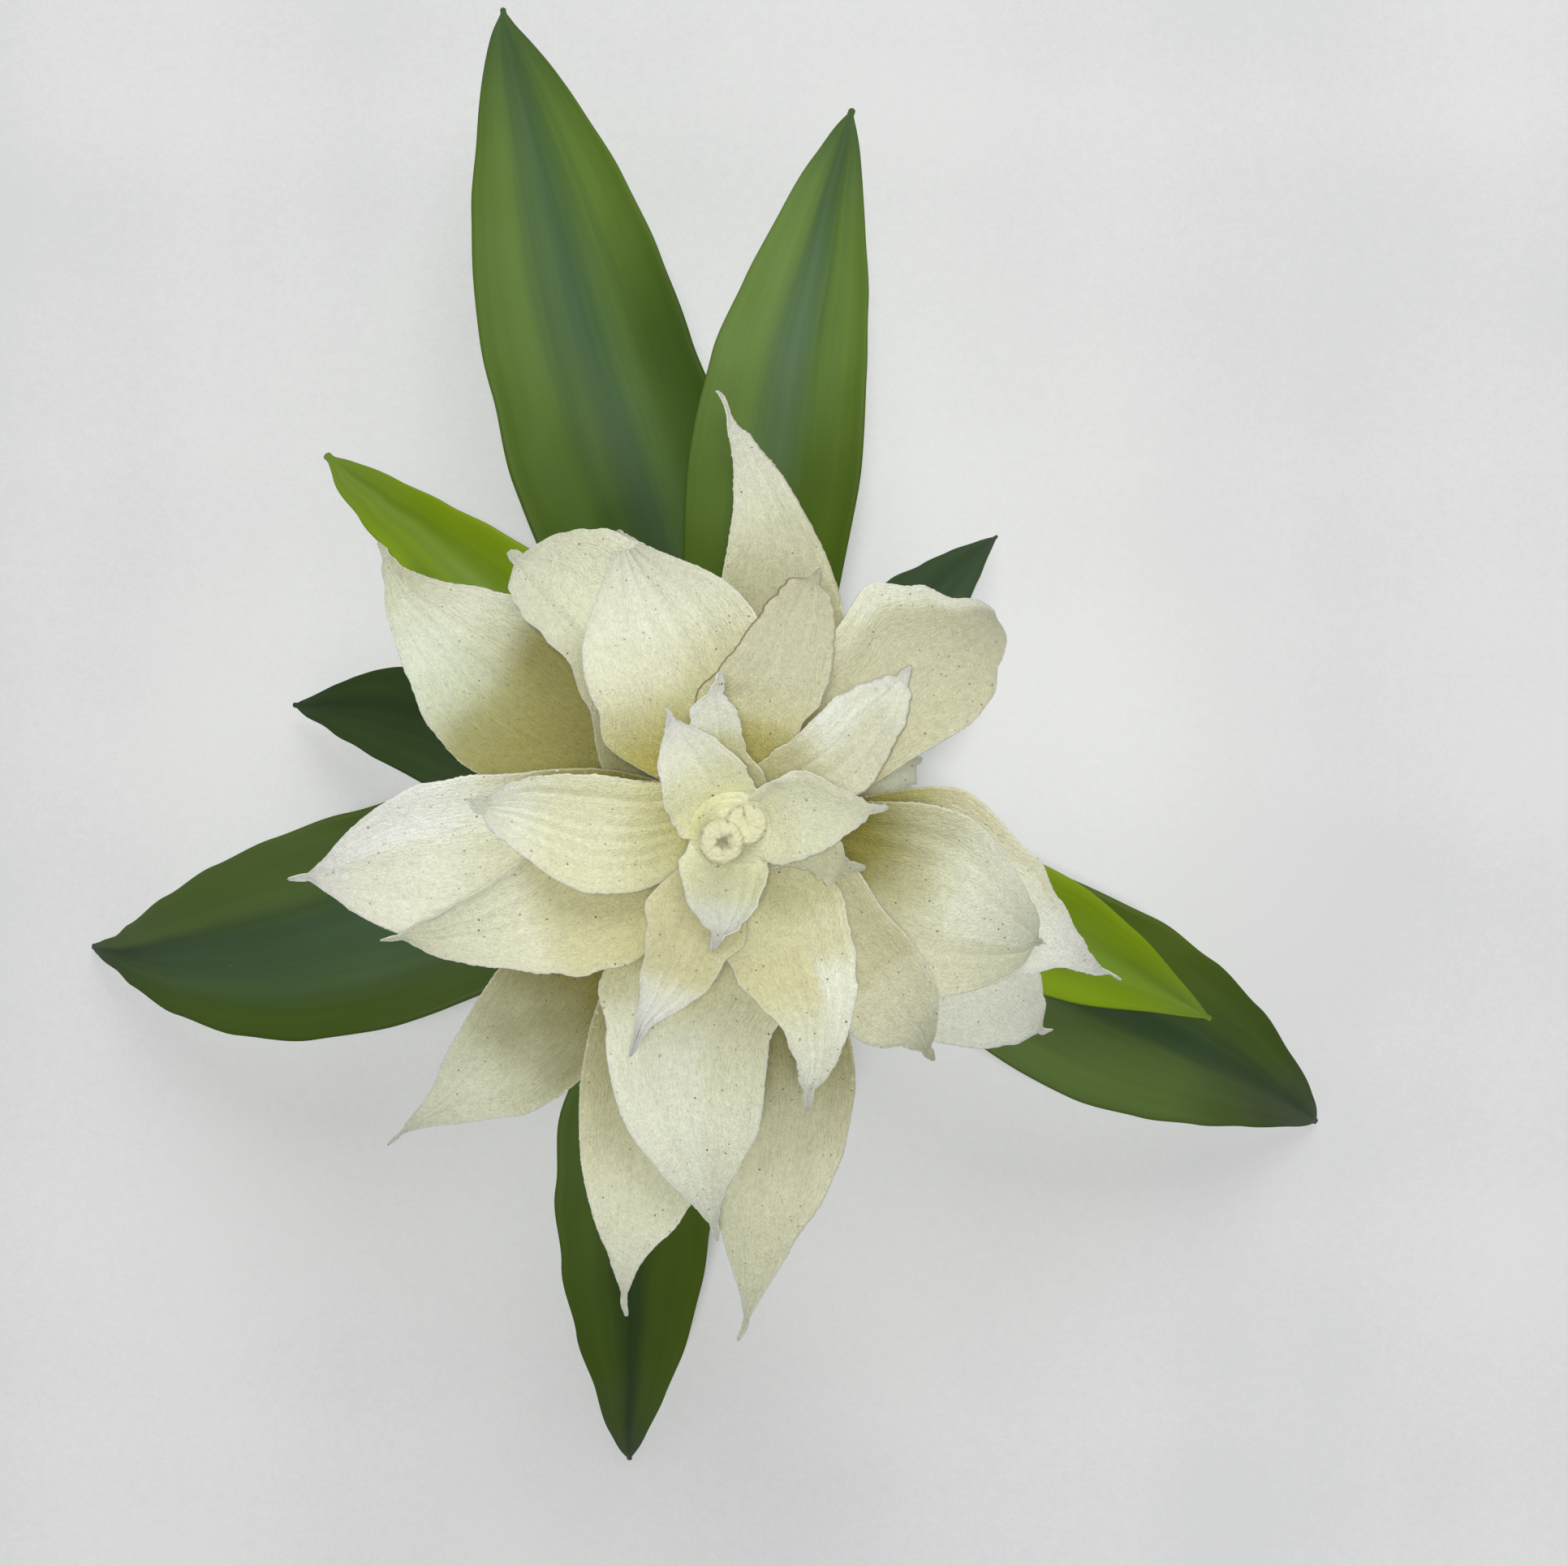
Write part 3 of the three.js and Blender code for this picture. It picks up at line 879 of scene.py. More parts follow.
@dataclass(kw_only=True)
class Blade:
    """One leaf or bract: a sheet along a midline, clasping the stem at its root and troughed beyond it.

    Lengths are millimetres and angles degrees. Left and right are seen from the root, with the upper face
    up.
    """

    node: str
    azimuth: float
    height: float
    length: float
    width: float
    rise: float
    fall: float
    turn: float
    clasp: float
    outline: Outline
    hook: float = 0.0
    bend: float = 0.9
    trough: float = 26.0
    thickness: float = 1.0
    steps: int = 132  # of the sum along the midline
    rows: int = 120
    columns: int = 22
    thin: float = 0.4  # the margin's thickness as a share of the middle's
    ragged: float = 0.0  # how far the margin strays
    crumb: float = 0.0  # its finest roughness
    wave: float = 0.0  # how far the margin waves up and down
    quilt: float = 0.0  # slow unevenness of the whole sheet
    relief: float = 1.0  # how strongly its ridges stand out
    # How much darker the finish is painted: on the bracts, painted shade that deepens down the head.
    age: float = 0.0
    girth: Table = ((0.0, 1.0),)  # its width as a share of the outline's
    sway: Table = ((0.0, 0.0),)  # how far the blade's middle lies to the left of its midline
    left: Table = ((0.0, 1.0),)  # its left and right halves as shares of the outline's
    right: Table = ((0.0, 1.0),)
    cup: Table = ((0.0, 0.0),)  # degrees added to the trough
    spur_bend: float = 0.0  # how far the spur's tip leans to the left
    ridges: tuple[Ridge, ...] = ()
    lips: tuple[Lip, ...] = ()
    tinges: tuple[TintAndLightPatch, ...] = ()
    stains: tuple[Stain, ...] = ()

    @property
    def seed(self) -> float:
        """A number of the blade's own, for its noise."""
        return (sum(ord(letter) * (place + 3) for place, letter in enumerate(self.node)) % 997) * 0.731

    @property
    def root(self) -> float:
        """How far the middle of the sheet's root lies from the axis."""
        return Stem.radius_at(self.height) + SEAT_GAP + self.thickness / 2

    def midline(self) -> list[tuple[Vector, Vector, float]]:
        """The points, directions and headings along the midline.

        Returns:
            One entry for each step, from the root to the tip.
        """
        out = math.radians(self.azimuth)
        point = Vector((self.root * math.cos(out), self.root * math.sin(out), self.height))
        line = []
        for step in range(self.steps + 1):
            s = step / self.steps
            pitch = math.radians(mix(self.rise, self.fall, s**self.bend))
            heading = out + math.radians(self.turn * s * s + self.hook * smooth(s, HOOK_START, 1.0))
            level = math.cos(pitch)
            along = Vector((level * math.cos(heading), level * math.sin(heading), math.sin(pitch)))
            line.append((point.copy(), along, heading))
            point += along * (self.length / self.steps)
        return line

    def half_width(self, s: float, u: float) -> float:
        """Half the width at a place.

        Args:
            s: The share of the length from the root.
            u: The place across, whose sign tells the side.

        Returns:
            The half width, in millimetres.
        """
        wide = self.outline.half_width(s, self.width, self.root * math.radians(self.clasp))
        wide *= along_table(self.girth, s) * along_table(self.left if u > 0 else self.right, s)
        return wide * math.sqrt(max(0.02, 1 - smooth(s, 1 - TIP_ROUND / self.length, 1.0) ** 2))

    def stray(self, s: float, u: float) -> float:
        """How far the ragged margin carries the sheet outwards.

        Args:
            s: The share of the length from the root.
            u: The place across, -1 to 1.

        Returns:
            The distance, in millimetres.
        """
        run = s * self.length
        side = math.copysign(1.0, u)
        stray = self.ragged * wander(run / RAG_CELL + 40 * side, self.seed)
        stray += self.crumb * ripple(run / CRUMB_CELL, 20 * side, self.seed + 5)
        tip = 0.35 + 0.65 * (1 - smooth(s, 0.86, 0.97))
        stray *= smooth(s, 0.05, 0.2) * tip * smooth(abs(u), 0.6, 1.0)
        return stray

    def lift(self, s: float, u: float, wide: float) -> float:
        """How far the finished sheet stands off its plain one.

        Args:
            s: The share of the length from the root.
            u: The place across, -1 to 1.
            wide: Half the width there.

        Returns:
            The distance along the upper face's normal.
        """
        free = smooth(s, 0.08, 0.3)  # how far it is free of its clasped root
        run = s * self.length
        side = math.copysign(1.0, u)
        total = self.relief * sum(ridge.lift(s, u) for ridge in self.ridges) * min(1.0, wide / FULL_RELIEF)
        total += sum(lip.lift(s, u) for lip in self.lips)
        total += self.quilt * free * ripple(run / QUILT_LENGTH, u * wide / QUILT_WIDTH, self.seed)
        return total + self.wave * free * u * u * wander(run / WAVE_CELL + side * 7.3, self.seed + 3)

    def tint_and_painted_light(self, s: float, u: float) -> tuple[float, ...]:
        """What the tinges and the painted light give at a place.

        Args:
            s: The share of the length from the root.
            u: The place across, -1 to 1.

        Returns:
            Their mean colour, and the strength of the strongest as its fourth value.
        """
        held = [(tinge.share(s, u), tinge.colour) for tinge in self.tinges]
        weight = max(sum(share for share, _ in held), 1e-6)
        mean = [sum(share * colour[part] for share, colour in held) / weight for part in range(3)]
        return (*mean, max((share for share, _ in held), default=0.0))

    def build(self) -> bpy.types.Object:
        """Lays the sheet, gives it its thickness and marks it.

        Returns:
            The finished piece, without a material.
        """
        line = self.midline()
        sheet = Sheet(self.rows, self.columns)
        for vert in sheet.grid.verts:
            s = 1 - (1 - (vert.co.x + 1) / 2) ** 1.2
            u = vert.co.y * (1.3 - 0.3 * vert.co.y**2)
            step = min(self.steps - 1e-6, s * self.steps)
            (point, along, heading), (ahead, _, _) = line[int(step)], line[int(step) + 1]
            side = Vector((-math.sin(heading), math.cos(heading), 0.0))
            inward = along.cross(side)
            wide = self.half_width(s, u)
            open_arc = mix(self.clasp, self.trough, smooth(s, 0.0, CLASP_SHARE))
            arc = math.radians(open_arc + along_table(self.cup, s))
            across = wide * u * sinc(arc * u) + math.copysign(self.stray(s, u), u)
            across += self.spur_bend * smooth(s, 1 - 1.6 * self.outline.spur, 1.0) ** 2
            across += along_table(self.sway, s)
            normal = inward * math.cos(arc * u) - side * math.sin(arc * u)
            bow = wide * arc * u * u / 2 * sinc(arc * u / 2) ** 2
            point = point.lerp(ahead, step - int(step)) + side * across + inward * bow
            inset = min(wide * (1 - abs(u)), (1 - s) * self.length)
            sheet.lay(vert, point + normal * self.lift(s, u, wide), (s, (u + 1) / 2), inset, firm=1.6)
            vert[sheet.stain] = max((stain.share(s, u) for stain in self.stains), default=0.0)
            vert[sheet.tinge] = self.tint_and_painted_light(s, u)
        return sheet.finish(f"{self.node}_sheet", self.seed % 50, self.age, self.thickness * 0.9, self.thin)


# ---- Sub-assemblies ----


@dataclass
class Stem:
    """Stock, neck and spike in one, with a cut foot and the scars of old leaves."""

    stations: Table = (
        (17, 1.5), (17, 12), (15.5, 28), (13, 44), (10, 60), (8, 78),
        (7, 104), (6.4, 130), (5.6, 160), (4.8, 190), (4, 203),
    )
    foot: Table = ((0, 0), (15.5, 0), (16.4, 0.5))
    crown: Table = ((3.5, 205), (2.6, 206), (0, 206))
    sides: int = 96
    ring_gap: float = 1.6
    scars: tuple[float, ...] = (6.0, 17.0, 28.5, 39.0, 50.0, 58.0, 66.0, 76.0, 87.0, 99.0)

    @classmethod
    def radius_at(cls, height: float) -> float:
        """The stem's radius at a height.

        Args:
            height: The height, in millimetres.

        Returns:
            The radius, in millimetres.
        """
        for (r0, z0), (r1, z1) in zip(cls.stations, cls.stations[1:]):
            if height <= z1:
                return mix(r0, r1, (height - z0) / (z1 - z0))
        return cls.stations[-1][0]

    def spun(self) -> bmesh.types.BMesh:
        """Spins the smooth stem from its profile, in rings about ring_gap apart.

        Returns:
            The closed shape.
        """
        body = bmesh.new()
        profile = (*self.foot, *self.stations, *self.crown)
        chain = [body.verts.new((radius * MM, 0.0, height * MM)) for radius, height in profile]
        for edge in [body.edges.new(pair) for pair in zip(chain, chain[1:])]:
            tall = abs(edge.verts[0].co.z - edge.verts[1].co.z)
            if tall > 4 * MM:
                bmesh.ops.subdivide_edges(body, edges=[edge], cuts=round(tall / (self.ring_gap * MM)))
        bmesh.ops.spin(
            body, geom=body.verts[:] + body.edges[:], cent=(0, 0, 0), axis=(0, 0, 1), angle=math.tau,
            steps=self.sides, use_merge=True, use_duplicate=False,
        )
        bmesh.ops.remove_doubles(body, verts=body.verts, dist=MERGE)
        bmesh.ops.recalc_face_normals(body, faces=body.faces)
        return body

    def build(self, finish: Material) -> None:
        """Spins the profile and works its skin.

        Args:
            finish: The skin's material.
        """
        body = self.spun()
        scar_layer = body.verts.layers.float.new("scar")
        for vert in body.verts:
            radius = math.hypot(vert.co.x, vert.co.y)
            height = vert.co.z / MM
            if radius < MERGE or not 0.6 <= height <= 204:
                continue
            around = math.atan2(vert.co.y, vert.co.x)
            near = min(abs(height - mark - 0.8 * math.sin(around + mark)) for mark in self.scars)
            scar = max(0.0, 1 - near / 0.9)
            vert[scar_layer] = scar
            skin = -0.25 * scar + 0.12 * ripple(around * 9, height / 14, 3.0) - 0.15
            factor = 1 + skin * MM / radius
            vert.co.x *= factor
            vert.co.y *= factor
        for face in body.faces:
            face.smooth = abs(face.normal.z) < 0.9
        settle(piece_from(body, "stem_skin"), finish, "stem")


@dataclass(kw_only=True)
class Leaf(Blade):
    """A strap leaf: smooth, with a channel along its midrib."""

    tone: LeafTone
    clasp: float = 40.0
    outline: Outline = Outline(widest=0.52, fullness=1.8, taper=1.0, spur=0.003, spur_root=0.9, spur_tip=0.8)
    bend: float = 0.8
    trough: float = 24.0
    thickness: float = 1.2
    steps: int = 180
    rows: int = 110
    columns: int = 20
    thin: float = 0.45
    ragged: float = 0.03
    wave: float = 0.5
    quilt: float = 0.5
    ridges: tuple[Ridge, ...] = folds((0, 30, -110), (50, 25, 30), (-50, 25, 30))


def leaf(name: str, tone: LeafTone, azimuth: float, *sizes: float, **own: object) -> Leaf:
    """One leaf.

    Args:
        name: The end of its node's name.
        tone: Its kind.
        azimuth: Where it stands.
        sizes: Its height, length, width, rise, fall and turn.
        own: What else is particular to it.

    Returns:
        The leaf.
    """
    labels = ("height", "length", "width", "rise", "fall", "turn")
    return Leaf(node=f"leaf_{name}", tone=tone, azimuth=azimuth, **dict(zip(labels, sizes)), **own)


# The leaves from the lowest up. Among their patches, the dark ones near the roots of mid_back and high_back
# are painted shade from the bracts, the lighter ones on mid_left, mid_right and high_back are painted
# highlights, and the grey one near mid_right's tip is a painted reflection.
LEAVES = (
    leaf("low_left", LeafTone.DARK, 165, 12, 136, 39, 48, -42, 6,
        girth=shares(50, 95, 70, 88, 80, 82, 90, 72, 100, 80),
        sway=table(40, 0, 65, -2.8, 75, -2.7, 85, -1.5, 95, 0),
        tinges=patches_of_tint_and_light((srgb(44, 62, 36), 70, 0, 100, -100, 100, 5))),
    leaf("low_right", LeafTone.DARK, 51, 12, 106, 30, 50, -48, -10,
        girth=shares(50, 100, 60, 90, 70, 74, 80, 66, 90, 57, 100, 55),
        tinges=patches_of_tint_and_light((srgb(56, 74, 52), 85, 0, 100, -100, 100, 5))),
    leaf("low_front", LeafTone.DARK, 254, 12, 209, 45, 56, -50, 18,
        girth=shares(20, 100, 40, 112, 50, 100, 60, 93, 70, 85, 80, 74, 90, 75, 100, 90),
        sway=table(20, 0, 42, -4.5, 50, -3.4, 60, -0.5, 70, 1.6, 80, 2.4, 90, 1.5, 100, 0.6),
        tinges=patches_of_tint_and_light((srgb(72, 90, 24), 60, 45, 80, 35, 90), (srgb(76, 96, 40), 60, 30, 55, -100, -50),
            (srgb(68, 88, 28), 50, 72, 86, -80, -30))),
    leaf("mid_back", LeafTone.MID, 110, 22, 242, 54, 46, -32, -20, hook=14, age=0.06,
        girth=shares(15, 100, 32, 119, 40, 116, 50, 105, 60, 101, 70, 97, 80, 91, 100, 93),
        sway=table(20, 0, 40, 0.5, 60, 1.5, 75, 2.1, 95, 2.4, 100, 1.5),
        tinges=patches_of_tint_and_light((srgb(50, 74, 18), 80, 30, 50, -100, -60), (srgb(70, 94, 28), 75, 20, 36, 15))),
    leaf("mid_left", LeafTone.MID, 198, 24, 218, 59, 52, -54, -22, age=0.85,
        girth=shares(15, 100, 30, 110, 45, 104, 55, 98, 65, 91, 75, 80, 85, 64, 90, 50, 96, 56, 100, 90),
        sway=table(10, 0, 33, -4.2, 45, -2.4, 60, -1.4, 100, -1.2),
        tinges=patches_of_tint_and_light((srgb(112, 138, 72), 70, 55, 85, -95, -40),
            (srgb(92, 120, 84), 60, 45, 70, -20, 45))),
    leaf("mid_right", LeafTone.MID, 332, 23, 207, 55, 52, -54, 10, hook=-18, age=0.8,
        girth=shares(30, 100, 40, 102, 50, 101, 60, 93, 70, 84, 80, 74, 90, 72, 100, 90),
        sway=table(30, 0, 50, -1, 60, -1.4, 70, -2.1, 80, -2.5, 90, -1.8, 100, -1.5),
        tinges=patches_of_tint_and_light((srgb(112, 138, 70), 75, 38, 64, -90, -35), (srgb(86, 98, 66), 70, 82, 97, -70, -10),
            (srgb(112, 136, 46), 70, 25, 50, 50))),
    leaf("high_back", LeafTone.MID, 86, 33, 197, 46, 60, -28, -14,
        girth=shares(30, 100, 45, 100, 60, 93, 70, 87, 80, 82, 90, 83, 100, 95),
        sway=table(30, 0.6, 60, 0, 75, -1.3, 90, -0.9, 100, 0),
        tinges=patches_of_tint_and_light((srgb(68, 90, 20), 85, 10, 44), (srgb(88, 112, 78), 60, 50, 66, -10, 20),
            (srgb(106, 132, 70), 60, 50, 78, 35, 85))),
    leaf("high_right", LeafTone.YOUNG, 340, 33, 136, 34, 56, -26, -12, left=shares(60, 100, 75, 90, 90, 75),
        right=shares(70, 100, 90, 85)),
    leaf("high_left", LeafTone.YOUNG, 143, 43, 145, 35, 50, -20, -12,
        girth=shares(50, 98, 65, 90, 75, 81, 85, 86, 95, 110),
        sway=table(30, 0, 60, -4.7, 75, -4.4, 85, -2.6, 95, -0.7, 100, 0)),
)


@dataclass
class LeafRosette:
    """The nine leaves that clasp the stock."""

    leaves: tuple[Leaf, ...] = LEAVES

    def build(self, effects: Effects) -> None:
        """Builds every leaf in the finish of its kind.

        Args:
            effects: The shared node groups.
        """
        finishes = {tone: tone.value.material(effects) for tone in LeafTone}
        for blade in self.leaves:
            settle(blade.build(), finishes[blade.tone], blade.node)


@dataclass(kw_only=True)
class Bract(Blade):
    """A pointed bract cut from a soft sheet, with a crumbly edge and fine veins."""

    columns: int = 30
    thin: float = 0.35
    ragged: float = 0.3
    crumb: float = 0.32
    wave: float = 1.0
    quilt: float = 0.6
    relief: float = 1.7


# The patches that bracts have: some are their own tints, most are painted light.
# Painted glow: roots and webs lightened as though light shone through them.
GLOW = srgb(236, 236, 196)
# Painted highlight on the tips; on bract_9_right's left margin, the own colour of its pale flap.
TIP_HIGHLIGHT_AND_PALE_FLAP = srgb(245, 246, 236)
# Painted highlight.
PAINTED_HIGHLIGHT = srgb(238, 240, 216)
# The roots' own yellow with painted glow.
ROOT_YELLOW_AND_GLOW = srgb(222, 220, 168)
# Painted shade.
PAINTED_SHADE = srgb(208, 207, 170)
MINT = srgb(204, 224, 204)
BLUSH = srgb(212, 200, 168)
# Painted deep shade, and on bract_2_left the painted cast shadow of the bracts above it.
PAINTED_DEEP_SHADE = srgb(150, 145, 76)
# The roots' own yellow with painted shade.
ROOT_YELLOW_AND_SHADE = srgb(186, 176, 94)
# The roots' own cream yellow with painted shade.
ROOT_CREAM_AND_SHADE = srgb(206, 201, 152)
# Painted soft shade.
PAINTED_SOFT_SHADE = srgb(199, 197, 164)
# Painted shade at the roots.
PAINTED_ROOT_SHADE = srgb(188, 183, 140)


@dataclass(frozen=True)
class Whorl:
    """One whorl: its height, its bracts' width and rise, and what is each bract's own."""

    height: float
    width: float
    rise: float
    bracts: tuple[Row, ...]


def bract(side: str, azimuth: float, length: float, fall: float, turn: float, **own: object) -> Row:
    """One bract of a whorl, with its own values where they differ from the whorl's."""
    row = {"side": side, "azimuth": azimuth, "length": length, "fall": fall, "turn": turn, "taper": 1.25}
    return row | own


WHORLS = (
    Whorl(112, 40, 50, (
        bract("back", 75, 112, -30, 36, hook=30, width=34, taper=1.7, age=0.58,
            girth=shares(35, 100, 70, 50, 80, 46, 85, 53), sway=table(30, 0, 80, 8, 87, 7.4, 100, 2.8),
            ridges=folds((10, 5, -20, 40, 85), (-35, 6, -20, 35, 80)),
            tinges=patches_of_tint_and_light((PAINTED_SOFT_SHADE, 40, 46, 70), (PAINTED_HIGHLIGHT, 80, 80, 100)), stains=(Stain(-1, 0.5, 0.8, 0.45),)),
        bract("left", 222, 112, -22, 0, width=38, girth=shares(35, 100, 60, 83, 70, 81, 90, 54, 95, 54),
            sway=table(30, 0, 70, 4.8, 80, 3.7, 95, 1),
            ridges=folds((-25, 5, -20, 50, 90), (15, 5, -20, 55, 95))),
        bract("right", 326, 96, -52, -4, age=0.42, girth=shares(45, 100, 70, 93, 85, 103, 90, 129, 95, 110),
            sway=table(40, 0, 90, -0.5, 95, -0.3), tinges=patches_of_tint_and_light((TIP_HIGHLIGHT_AND_PALE_FLAP, 40, 70, 100)), spur_bend=1.6),
    )),
    Whorl(122, 42, 48, (
        bract("left", 150, 107, -30, -26, rise=38,
            girth=shares(25, 100, 50, 103, 60, 94, 70, 80, 80, 70, 85, 69, 90, 62, 95, 102, 100, 72),
            sway=table(20, 0, 70, 1.5, 85, 2.5, 90, 2, 100, 0.4),
            ridges=folds((30, 5, -40, 45, 85), (8, 4, -30, 55, 92), (-25, 6, -25, 60, 95),
                (60, 6, -25, 50, 85)),
            tinges=patches_of_tint_and_light((MINT, 35, 74, 98, 10, 100, 30), (PAINTED_DEEP_SHADE, 90, 15, 52, -120, 120, 10),
                (PAINTED_SHADE, 70, 92, 120)), spur_bend=0.5),
        bract("front", 279, 118, -14, -22, width=39, taper=1.4,
            girth=shares(25, 100, 50, 100, 60, 91, 70, 87, 80, 74, 90, 69),
            sway=table(20, 0, 50, -0.4, 85, -3, 90, -3),
            ridges=folds((0, 5, -20, 45, 95), (-40, 5, -15, 50, 85)),
            tinges=patches_of_tint_and_light((BLUSH, 30, 50, 78, 85, 100, 8), (PAINTED_SOFT_SHADE, 50, 50, 85), (PAINTED_DEEP_SHADE, 30, 10, 42)),
            stains=(Stain(1, 0.5, 0.78, 0.35),), spur_bend=-0.8),
        bract("right", 19, 45, -60, 0, width=30, right=shares(40, 100, 70, 56, 80, 73, 85, 111)),
    )),
    Whorl(132, 40, 52, (
        bract("left", 127, 85, -44, 12, rise=58,
            left=shares(30, 100, 50, 52, 60, 38, 70, 47, 80, 71, 85, 92, 90, 130),
            right=shares(50, 100, 60, 110, 70, 135, 80, 161, 85, 182, 90, 220),
            ridges=folds((20, 6, -30, 50, 90), (-30, 6, -20, 60, 90)), tinges=patches_of_tint_and_light((PAINTED_SHADE, 35, 20, 80))),
        bract("front", 252, 112, -14, 14, age=0.8, girth=shares(25, 100, 70, 83, 80, 82, 90, 61, 95, 64),
            sway=table(50, 0.1, 80, 0.6, 85, 0.1, 90, 0, 95, 0.4), ridges=folds((-15, 5, -20, 50, 95)),
            tinges=patches_of_tint_and_light((PAINTED_ROOT_SHADE, 40, 30, 72), (PAINTED_HIGHLIGHT, 50, 85, 100)), spur_bend=0.7),
        bract("right", 342, 99, -45, -14, rise=44, age=0.36,
            girth=shares(15, 100, 40, 126, 60, 84, 70, 58, 80, 37, 85, 32, 95, 30),
            sway=table(40, 0, 80, -0.6, 85, -1.5, 90, -1.8, 95, -0.9), ridges=folds((30, 5, -20, 45, 85)),
            tinges=patches_of_tint_and_light((BLUSH, 40, 42, 72, 85, 100, 8), (TIP_HIGHLIGHT_AND_PALE_FLAP, 70, 80, 100))),
    )),
    Whorl(143, 39, 50, (
        bract("right", 39, 98, -88, -12, width=35, age=0.22,
            girth=shares(15, 100, 40, 103, 50, 111, 60, 91, 70, 64),
            sway=table(10, 0, 40, 3.6, 50, 5, 60, 3, 70, 1.9),
            ridges=folds((-55, 4, -30, 30, 62), (-20, 4, -20, 30, 75)),
            tinges=patches_of_tint_and_light((PAINTED_SOFT_SHADE, 95, 35, 120, -120, 55))),
        bract("left", 187, 98, -20, 0,
            girth=shares(25, 100, 50, 89, 60, 93, 70, 103, 85, 108, 90, 101, 95, 102),
            sway=table(50, 0, 90, 0.1, 95, -0.2), ridges=folds((-5, 5, -25, 40, 95), (40, 5, -20, 40, 80)),
            tinges=patches_of_tint_and_light((TIP_HIGHLIGHT_AND_PALE_FLAP, 80, 72, 100, -100, 100, 30), (PAINTED_SHADE, 90, 10, 72, -10, 120, 25))),
    )),
    Whorl(154, 37, 54, (
        bract("back", 109, 79, -66, 12, girth=shares(10, 100, 30, 132, 40, 113, 85, 47, 90, 54, 95, 98),
            sway=table(30, 0.1, 80, 1, 95, 0.5),
            ridges=folds((10, 4, -50, 42, 97), (-16, 4.5, -50, 45, 95), (45, 6, -30, 40, 85),
                (-50, 5, -25, 45, 85), (-2, 7, 35, 50, 98)),
            tinges=patches_of_tint_and_light((PAINTED_HIGHLIGHT, 50, 42, 75, 10, 120, 15), (PAINTED_SOFT_SHADE, 30, 35, 120))),
        bract("front", 259, 91, -30, 26,
            girth=shares(15, 100, 40, 117, 50, 93, 60, 89, 70, 89, 80, 79, 85, 71, 90, 67, 95, 101),
            sway=table(10, 0, 50, -2.8, 80, -0.3, 95, 0.3, 100, 0.1),
            ridges=folds((-35, 5, -25, 40, 90), (2, 5, -25, 45, 92), (35, 5, -20, 40, 85),
                (-60, 5, 30, 35, 75)), tinges=patches_of_tint_and_light((PAINTED_SHADE, 50, 30, 70, 30, 120), (PAINTED_HIGHLIGHT, 50, 75, 100))),
        bract("right", 339, 80, -64, 0, age=0.45,
            girth=shares(15, 100, 50, 112, 70, 96, 80, 96, 85, 110, 90, 141, 95, 130),
            sway=table(10, 0, 40, -0.2, 70, -1.7, 90, -1.4, 95, -0.7),
            ridges=folds((-42, 3.5, -35, 38, 90), (-27, 3, -30, 35, 92), (-10, 3.5, -30, 40, 94),
                (12, 3.5, -25, 30, 85), (40, 4, -35, 30, 85), (65, 5, -30, 35, 70)),
            tinges=patches_of_tint_and_light((PAINTED_SOFT_SHADE, 60, 35, 85, -120, -35))),
    )),
    Whorl(165, 30, 56, (
        bract("back", 75, 57, -38, -10, width=28,
            girth=shares(20, 100, 40, 88, 60, 75, 70, 76, 80, 95, 85, 125, 90, 200, 95, 160),
            sway=table(5, 0, 40, 3.6, 50, 1, 60, -0.3, 70, -0.5, 80, -0.3, 90, 0.3, 95, 0.1),
            ridges=folds((-30, 6, 30, 35, 90), (30, 5, -25, 40, 90)),
            tinges=patches_of_tint_and_light((PAINTED_SOFT_SHADE, 85, 48, 100), (ROOT_YELLOW_AND_SHADE, 70, 0, 32)),
            stains=(Stain(1, 0.25, 0.9, 1), Stain(-1, 0.6, 0.97, 0.6))),
        bract("left", 201, 77, -18, -10,
            girth=shares(15, 100, 40, 122, 50, 105, 60, 81, 70, 69, 80, 70, 90, 84, 95, 70),
            sway=table(10, 0, 40, 1.3, 60, 3, 70, 2.8, 80, 2, 95, 0),
            ridges=folds((10, 5, -20, 30, 90), (-40, 4, 25, 30, 80)), lips=(Lip(-1, 0.35, 0.8, 0.8, 0.25),),
            tinges=patches_of_tint_and_light((ROOT_CREAM_AND_SHADE, 95, 0, 50), (PAINTED_SHADE, 40, 50, 100))),
        bract("right", 314, 67, -45, -12,
            girth=shares(25, 100, 50, 74, 60, 75, 80, 97, 85, 88, 90, 103, 95, 127),
            sway=table(20, 0, 80, -0.5, 85, 0.3, 95, -0.5),
            ridges=folds((20, 5, -25, 40, 90), (-30, 5, -20, 40, 85)),
            tinges=patches_of_tint_and_light((PAINTED_SOFT_SHADE, 65, 10, 100), (PAINTED_ROOT_SHADE, 90, 0, 58, -100, 100, 15))),
    )),
    Whorl(176, 26, 58, (
        bract("right", 37, 48, -30, 18,
            girth=shares(10, 100, 30, 77, 40, 69, 50, 71, 60, 67, 70, 70, 80, 87, 85, 105, 90, 190, 95,
                163), sway=table(5, 0, 30, -0.7, 50, -1.6, 70, -0.5, 80, -0.6, 90, -0.4, 95, 0),
            ridges=folds((25, 4.5, -30, 35, 90), (-15, 4, -30, 40, 92), (-50, 4, -25, 40, 80)),
            tinges=patches_of_tint_and_light((TIP_HIGHLIGHT_AND_PALE_FLAP, 25, 50, 100, -100, 100, 35), (PAINTED_SOFT_SHADE, 80, 10, 70, -120, 10),
                (ROOT_CREAM_AND_SHADE, 90, -20, 36)), stains=(Stain(-1, 0.45, 0.98, 0.75), Stain(1, 0.7, 0.99, 0.5))),
        bract("left", 178, 54, -22, -14,
